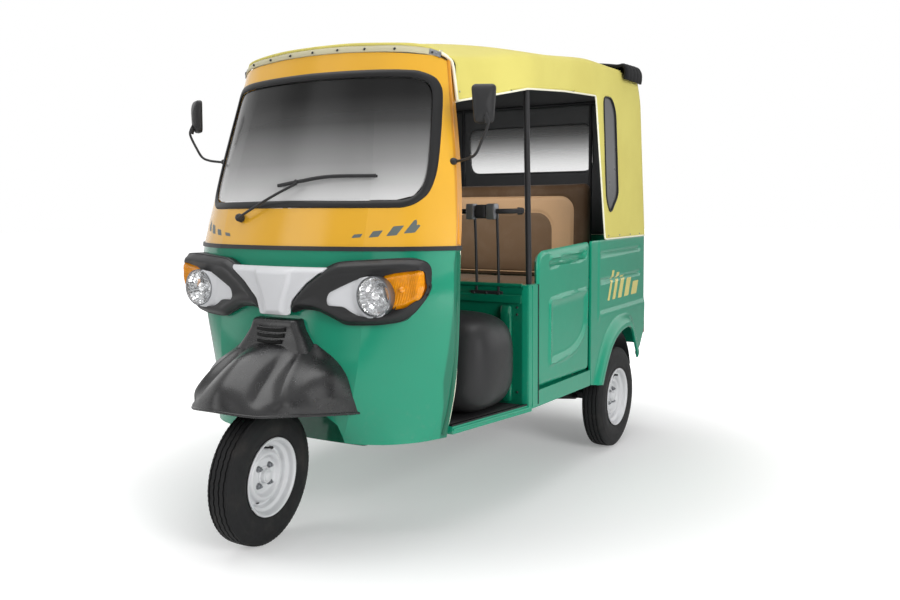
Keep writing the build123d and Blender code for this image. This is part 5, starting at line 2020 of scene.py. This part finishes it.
# %% [markdown]
# The passenger's backrest is sewn from three shades: a dark surround, a tan band in the form of an
# arch, and a middle panel. Both seams are rounded rectangles, open at the bottom, and the same
# distance formula draws the colours in the material and presses the seams into the foam.

# %% Seams of the backrest
BAND_HALF, BAND_TOP, BAND_R = 0.425, 1.298, 0.075
CORE_HALF, CORE_TOP, CORE_R = 0.300, 1.214, 0.090
ARCHES = ((BAND_HALF, BAND_TOP, BAND_R), (CORE_HALF, CORE_TOP, CORE_R))
SEAM_WIDTH, SEAM_DEPTH = 0.007, 0.007


def arch_gap(x, z, half, top, radius):
    """Distance to an arch with straight sides, a straight top and round corners, negative inside:
    the length of the part beyond the inner corner point, less the radius."""
    across, up = np.abs(x) - (half - radius), z - (top - radius)
    outside = np.hypot(np.maximum(across, 0), np.maximum(up, 0))
    return outside + np.minimum(np.maximum(across, up), 0) - radius


def backrest_grooves(points):
    """Seams pull the cover in along both arches, on the front face only."""
    x, y, z = points.T
    front = 1 - soft(y, 0.93, 0.96)
    lines = [np.exp(-(arch_gap(x, z, *arch) / SEAM_WIDTH) ** 2) for arch in ARCHES]
    low = np.exp(-((z - 0.885) / 0.006) ** 2)
    return -SEAM_DEPTH * front * np.maximum(np.maximum(*lines), low)


def arch_value(x, z, half, top, radius):
    """The same distance as arch_gap, written as shader maths."""
    across, up = x.absolute() - (half - radius), z - (top - radius)
    a, b = across.math("MAXIMUM", 0.0), up.math("MAXIMUM", 0.0)
    outside = (a * a + b * b).math("SQRT")
    return outside + across.math("MAXIMUM", up).math("MINIMUM", 0.0) - radius


def three_tone_leather():
    f = Finish("backrest_leather")
    x, y, z = f.axes()
    band, core = (1 - arch_value(x, z, *arch).smooth_step(-0.0015, 0.0015) for arch in ARCHES)
    front = 1 - y.smooth_step(0.955, 0.965)
    first = f.mix(band * front, DARK_BROWN, TAN)
    tone = f.mix(core * front, first, MID_BROWN)
    worn = f.noise(9, 4, 0.6).smooth_step(0.40, 0.72)
    return f.surface(Base_Color=f.mix(worn * 0.12, tone, (0.30, 0.22, 0.16)), **leather_skin(f))


finishes["seat_cloth.backrest"] = three_tone_leather()
print("arches of the backrest:", ARCHES)

# %% [markdown]
# Each cushion is a block with rounded edges, and the same steps stuff it. What differs is its size,
# how finely it is remeshed, how far the foam may push, and where its seams pull it in.

# %% The four cushions
backrest = cushion("passenger_backrest_pad", block((-0.508, 0.915, 0.850), (0.508, 0.998, 1.374),
    0.036), "seat_cloth.backrest", ["passenger_backrest"], 0.010, 0.011, backrest_grooves)
seat = cushion("passenger_seat_pad", block((-0.590, 0.442, 0.728), (0.590, 0.905, 0.862), 0.040),
    "seat_cloth.cushion", ["passenger_cushion"], 0.010, 0.012, lambda p: -0.006 * np.exp(-((p[:,
    0] ** 2) / 0.0001)) * soft(p[:, 2], 0.80, 0.84))
driver_seat = cushion("driver_seat_pad", block((-0.260, -0.536, 0.808), (0.260, -0.268, 0.866), 0.026),
    "seat_cloth", ["driver_cushion"], 0.008, 0.008, lambda p: -0.004 * np.exp(-((np.abs(p[:,
    0]) - 0.13) / 0.006) ** 2) * soft(p[:, 2], 0.84, 0.86))
driver_back = cushion("driver_back_pad", block((-0.212, -0.264, 0.988), (0.212, -0.220, 1.282), 0.020),
    "seat_cloth", ["driver_backrest"], 0.008, 0.007, lambda p: -0.004 * np.exp(-((p[:,
    2] - 1.135) / 0.006) ** 2) * (1 - soft(p[:, 1], -0.25, -0.23)))
print("cushions:", [c.name for c in (backrest, seat, driver_seat, driver_back)])

# %% [markdown]
# Tan piping is sewn into both seams of the backrest and along its foot. It follows the same arches.

# %% Piping along the seat seams
def arch_run(half, top, radius, foot, y):
    """The arch as a line: up one side, round both corners, and down the other."""
    turn = np.linspace(0, np.pi / 2, 9)
    corner = join(half - radius + radius * np.cos(turn), top - radius + radius * np.sin(turn))
    right = np.concatenate([[(half, foot), (half, (foot + top) / 2)], corner])
    line = np.concatenate([right, right[::-1] * (-1, 1)])
    return join(line[:, 0], y, line[:, 1])


seat_piping = Shape()
for arch in ARCHES:
    seat_piping.add(tube(arch_run(*arch, 0.892, 0.9105), 0.0028, 8))
seat_piping.add(tube(mm((-490, 911, 889), (490, 911, 889)), 0.003, 8))
piece("backrest_piping", seat_piping, "tan_cloth")
print("piping points:", seat_piping.count)

# %% [markdown]
# ## Driver's place
# The driver sits on a moulded black box that bulges at its sides. Behind it a bar crosses the cab
# from post to post and carries the backrest on upright rods, held by clips with two screws each.

# %% Seat box bulge, bar, rods and clips
BOX_POWER, BOX_Y, BOX_Z = 2 / 3.2, -0.381, 0.622
BOX_HALF = (0.664, 0.186, 0.203)
BOX_RINGS, BOX_SIDES = 41, 96


def bulged_box():
    """Rings along x, each a superellipse in y and z: |y/b|^3.2 + |z/c|^3.2 = 1. Their size stays full
    over the middle and closes at both ends, which makes the bulge."""
    angle = np.linspace(0, 2 * np.pi, BOX_SIDES, endpoint=False)
    y = BOX_HALF[1] * np.sign(np.cos(angle)) * np.abs(np.cos(angle)) ** BOX_POWER
    z = BOX_HALF[2] * np.sign(np.sin(angle)) * np.abs(np.sin(angle)) ** BOX_POWER
    run = np.sin(np.linspace(-np.pi / 2, np.pi / 2, BOX_RINGS))[:, None]
    size = np.maximum(1 - np.abs(run) ** 11, 0) ** (1 / 3.2)
    return join(BOX_HALF[0] * run, BOX_Y + size * y, BOX_Z + size * z)


box_skin = Shape().grid(bulged_box(), wrap=(False, True))
piece("driver_seat_moulding", box_skin, "black_plastic", replaces=["driver_seat_base"], crease=60)

BAR_Y, BAR_Z = -0.205, 1.230
bar_half = [(0.30, BAR_Y, BAR_Z), (0.56, BAR_Y, BAR_Z), (0.61, BAR_Y + 0.014, BAR_Z),
    (0.648, -0.160, BAR_Z + 0.002)]
bars = tube([(-x, y, z) for x, y, z in bar_half[::-1]] + bar_half, 0.0105, 16)
for x in (-0.545, -0.440, 0.440, 0.545):
    bars.add(tube([(x, -0.1885, 0.884), (x, -0.1885, 0.91), (x, -0.196, 1.10), (x, BAR_Y, BAR_Z)],
        0.0058, 12, 24))
    bars.add(turned(mm((-6, 0), (-6, 11), (4, 11), (4, 0)), (x, -0.1885, 0.888), (0, 0, 1), 16))
for side in (-1, 1):
    bars.add(turned(mm((-10, 0), (-10, 16), (12, 14), (14, 0)), (side * 0.636, -0.172, BAR_Z), (side,
        0.4, 0), 20))
piece("driver_back_bar", bars, "black_paint", crease=50)
clip = block((0.408, -0.228, 1.196), (0.445, -0.182, 1.262), 0.006, 0.012)
clip.add(block((0.505, -0.228, 1.196), (0.545, -0.182, 1.262), 0.006, 0.012))
piece("driver_bar_clips", clip.both_sides(), "silver_paint.bolt")
sleeve = block((0.448, -0.224, 1.200), (0.502, -0.186, 1.258), 0.010, 0.012)
piece("driver_bar_sleeves", sleeve.both_sides(), "black_plastic")
print("driver's bar at z", BAR_Z)

# %% [markdown]
# # Cab fittings
# The smaller fittings of the cab give it scale: the rolled edges of the nose, the post beside the
# door, a ribbed mat on the floor of the driver's foot well, the sill with its bead, and the fixings
# on the wall behind the driver. They are sweeps and pressed panels, like the larger parts.

# %% Rolled edges of the nose, and the foot well
ROLL_TOP = mm((507, -528, 1800), (546, -574, 1600), (580, -613, 1411), (614, -654, 1211),
    (628, -674, 1112))
ROLL_LOW = mm((630, -684, 1088), (627, -686, 960), (622, -684, 850), (598, -669, 600), (574, -668, 470),
    (556, -672, 392))
roll_profile = oval((0, 0), (0.009, 0.012), 16)
# The rolls take darker copies of the paints, which paint the shade along the folded edges.
piece("frame_rolled_edges", sweep(curve_through(ROLL_TOP, 40), roll_profile).both_sides(),
    "yellow_paint.painted_shade", crease=60)
piece("cowl_rolled_edges", sweep(curve_through(ROLL_LOW, 50), roll_profile).both_sides(),
    "green_paint.painted_shade", crease=60)
bead_run = curve_through(np.array(ROLL_LOW) + (0.004, 0.016, 0), 50)
piece("cowl_edge_beads", tube(bead_run, 0.0026, 8).both_sides(), "canopy_cloth.piping")

FLOOR_TOP, MAT_RIBS = 0.4155, 22


def ribbed_mat():
    """A sheet of rubber: fine ribs run across the vehicle, as a wave of the distance back."""
    share, y = np.meshgrid(np.linspace(-1, 1, 13), np.linspace(-0.640, -0.198, 177), indexing="ij")
    x = share * (0.552 + (0.650 - 0.552) * (y + 0.64) / 0.45)
    rib = 0.0016 * np.clip(np.cos(2 * np.pi * MAT_RIBS * (y + 0.64) / 0.44), -0.4, 0.6)
    return join(x, y, FLOOR_TOP + 0.004 + rib)


piece("foot_well_mat", Shape().grid(ribbed_mat(), outward=(0, 0, 1)), "seal_rubber", closed=False,
    thick=0.004)
sill_line = mm((572, -646, 418.5), (623.5, -405, 418.5), (674, -166, 418.5))
lip_profile = rounded(mm((-10, -3), (10, -3), (10, 3), (-10, 6)), 0.002)
piece("sill_lips", sweep(sill_line, lip_profile).both_sides(), "seal_rubber")
piece("sill_beads", tube(sill_line + (0.013, 0, -0.012), 0.0052, 10).both_sides(), "green_paint")
print("mat ribs:", MAT_RIBS)

# %% [markdown]
# A boxed post stands beside each door, with a rubber seal on its edge. The wall behind the driver
# is pressed steel with a folded rail, and bolts hold the rods of the backrest to it.

# %% Posts beside the doors, and the wall behind the driver
post = block((0.648, -0.1905, 0.400), (0.6885, -0.1035, 0.926), 0.006, 0.03)
piece("door_posts", post.both_sides(), "green_paint")
# The dark seal is rubber, and it also paints the shade in the gap beside the door.
lip_line = mm((688.5, -105.5, 410), (688.5, -105.5, 660), (688.5, -105.5, 922))
piece("door_post_seals", tube(lip_line, 0.0046, 10, up=(1, 0, 0)).both_sides(), "seal_rubber")
wall_half = block((0.0, -0.2015, 0.846), (0.655, -0.190, 0.884), 0.005, 0.02)
wall_half.add(tube(mm((0, -190.5, 922), (330, -190.5, 922), (655, -190.5, 922)), 0.0085, 12))
wall_half.add(block((0.560, -0.2065, 0.430), (0.612, -0.190, 0.838), 0.012, 0.02))
# The wall takes the darker green, which paints the shade that falls on it behind the driver.
piece("wall_pressings", wall_half.both_sides(), "green_paint.painted_shade")
feet = block((0.415, -0.2005, 0.876), (0.566, -0.186, 0.896), 0.004, 0.01)
piece("rod_feet", feet.both_sides(), "black_paint")
bolts = Shape()
for x in (0.432, 0.492, 0.551):
    bolts.add(dome((x, -0.2005, 0.886), (0, -1, 0), 0.0062, 0.005))
for z in (0.83, 0.80, 0.47):
    bolts.add(dome((0.632, -0.1905, z), (0, -1, 0), 0.0055, 0.004))
piece("wall_bolts", bolts.both_sides(), "black_paint")
print("bolts on each side of the wall:", 6)

# %% [markdown]
# ## Handlebar
# The grips are ribbed rubber sleeves, each with a brake or clutch lever in front of it and a small
# box of switches beside it. The pod in the middle holds a round dial behind a clear cover. All of
# this turns with the steering.

# %% Grips, levers and dial
STEER_AT, STEER_RAKE, STEER_TURN = Vector((0, -1.045, 0.259)), math.radians(24), math.radians(6.3)
steer_axis = Vector((0, math.sin(STEER_RAKE), math.cos(STEER_RAKE)))
turn_about_axis = Matrix.Rotation(STEER_TURN, 4, steer_axis)
steered = Matrix.Translation(STEER_AT) @ turn_about_axis @ Matrix.Translation(-STEER_AT)
HEAD_Z = 0.985
HEAD_Y = STEER_AT.y + math.tan(STEER_RAKE) * (HEAD_Z - STEER_AT.z)
GRIP_IN = np.array((0.200, HEAD_Y + 0.0267, 1.0156))
GRIP_END = np.array((0.306, HEAD_Y + 0.062, 1.0203))


def ribbed_grip():
    """A sleeve turned about the bar: its radius is a wave along it, and both ends are flanges."""
    reach = np.linalg.norm(GRIP_END - GRIP_IN)
    along = np.linspace(0.006, reach, 50)
    radius = 0.0178 + 0.0009 * np.cos(2 * np.pi * along / 0.0068)
    profile = [(0.0, 0.0), (0.0, 0.0250), (0.005, 0.0250), *zip(along, radius), (reach + 0.004, 0.0225),
        (reach + 0.008, 0.0215), (reach + 0.009, 0.0)]
    return turned(profile, GRIP_IN, GRIP_END - GRIP_IN, 24)


lever_run = [(0.176, HEAD_Y - 0.002, 1.012), (0.200, HEAD_Y - 0.008, 1.004),
    (0.250, HEAD_Y + 0.012, 0.999), (0.292, HEAD_Y + 0.030, 0.998)]
lever = sweep(curve_through(lever_run, 30), oblong(0.007, 0.003, 0.002))
switches = block((0.138, HEAD_Y - 0.022, 0.994), (0.186, HEAD_Y + 0.028, 1.038), 0.007, 0.01)
dial_axis = Vector((0, 0.42, 1))
dial = turned(mm((-4, 0), (-4, 40), (6, 42), (10, 38), (8, 35), (6, 0)), (0, HEAD_Y - 0.006, 1.078),
    dial_axis, 48)
for name, shape, finish in (("handlebar_grips", ribbed_grip().both_sides(), "seal_rubber"),
                            ("handlebar_levers", lever.both_sides(), "silver_paint"),
                            ("handlebar_switches", switches.both_sides(), "black_plastic"),
                            ("handlebar_dial", dial, "black_plastic")):
    piece(name, shape.moved(steered), finish, "steering", crease=50)
# The needle takes the amber lens finish, so it glows a little: painted light.
dial_needle = block((-0.0012, HEAD_Y - 0.006, 1.0875), (0.0012, HEAD_Y + 0.020, 1.0895), 0.0004, 0.01)
piece("handlebar_dial_needle", dial_needle.moved(steered), "amber_lens", "steering")
print("handlebar head at y", round(HEAD_Y, 3))

# %% [markdown]
# ## Rear face and film stripes
# The rear wall carries louvres for the engine bay, which are five bars with a slanted section, and a
# red lamp on each side, whose lens crowns in its middle.

# %% Louvres and tail lamps
LOUVRE_Y, TAIL_Y = 1.3125, 1.322
louvres = Shape()
for height in np.linspace(0.79, 0.95, 5):
    run = join(np.linspace(-0.30, 0.30, 13), LOUVRE_Y, height)
    louvres.add(sweep(run, rounded(mm((-10, -11), (9, -11), (3, 11), (-10, 11)), 0.004)))
piece("rear_louvres", louvres, "green_paint", crease=50)

TAIL = rounded(mm((620, 530), (686, 530), (686, 610), (620, 610)), 0.014)


def tail_relief(x, z):
    """A lens that crowns in its middle, with upright prisms."""
    gap = gap_to(TAIL, x, z)
    return 0.012 * soft(-gap, 0.0, 0.020) + 0.0008 * np.cos(2 * np.pi * x / 0.006)


tail = trimmed(TAIL, lambda u, v: (u, TAIL_Y + tail_relief(u, v), v), 0.0026, outward=(0, 1, 0))
piece("tail_lamp_lenses", tail.both_sides(), "red_lens", replaces=["tail_lamps"], closed=False,
    thick=0.009, crease=60)
print("louvres:", louvres.quads(), "quads, tail lamps:", tail.quads())

# %% [markdown]
# The stripes are thin film. Each bar is an outline on the panel below it, and takes that panel's own
# relief plus a hair, so it follows every groove.

# %% Film stripes
# columns: y of the foot, width, height; each leans back by BAR_LEAN
FLANK_BARS = mm((735, 30, 150), (805, 42, 135), (885, 56, 115), (980, 70, 95), (1090, 90, 70))
BAR_LEAN, FLANK_FOOT, FILM_GAP = 0.45, 0.770, 0.0006
film = Shape()
for foot, width, height in FLANK_BARS:
    top, slant = FLANK_FOOT + height, BAR_LEAN * height
    bar = rounded([(foot, FLANK_FOOT), (foot + width, FLANK_FOOT), (foot + width + slant, top),
        (foot + slant, top)], 0.003)
    film.add(trimmed(bar, side_place(lambda y, z: quarter_relief(y, z) + FILM_GAP), 0.006,
        outward=(1, 0, 0)))
piece("flank_stripes", film.both_sides(), "yellow_paint.stripe", closed=False, crease=50)

CORNER_BARS = mm((300, 1140, 16), (365, 1142, 26), (425, 1147, 38), (480, 1156, 52))
corner_film = Shape()
for x, z, height in CORNER_BARS:
    bar = rounded([(x, z), (x + 0.034, z + 0.003), (x + 0.034 + 0.5 * height, z + height),
        (x + 0.5 * height, z + height - 0.003)], 0.002)
    corner_film.add(trimmed(bar, lambda u, v: (u, nose_y(u, v) - 0.0008, v), 0.005, outward=(0, -1, 0)))
piece("corner_stripes", corner_film.both_sides(), "silver_plastic.stripe", closed=False, crease=50)
print("stripes:", len(FLANK_BARS) + len(CORNER_BARS), "on each side")
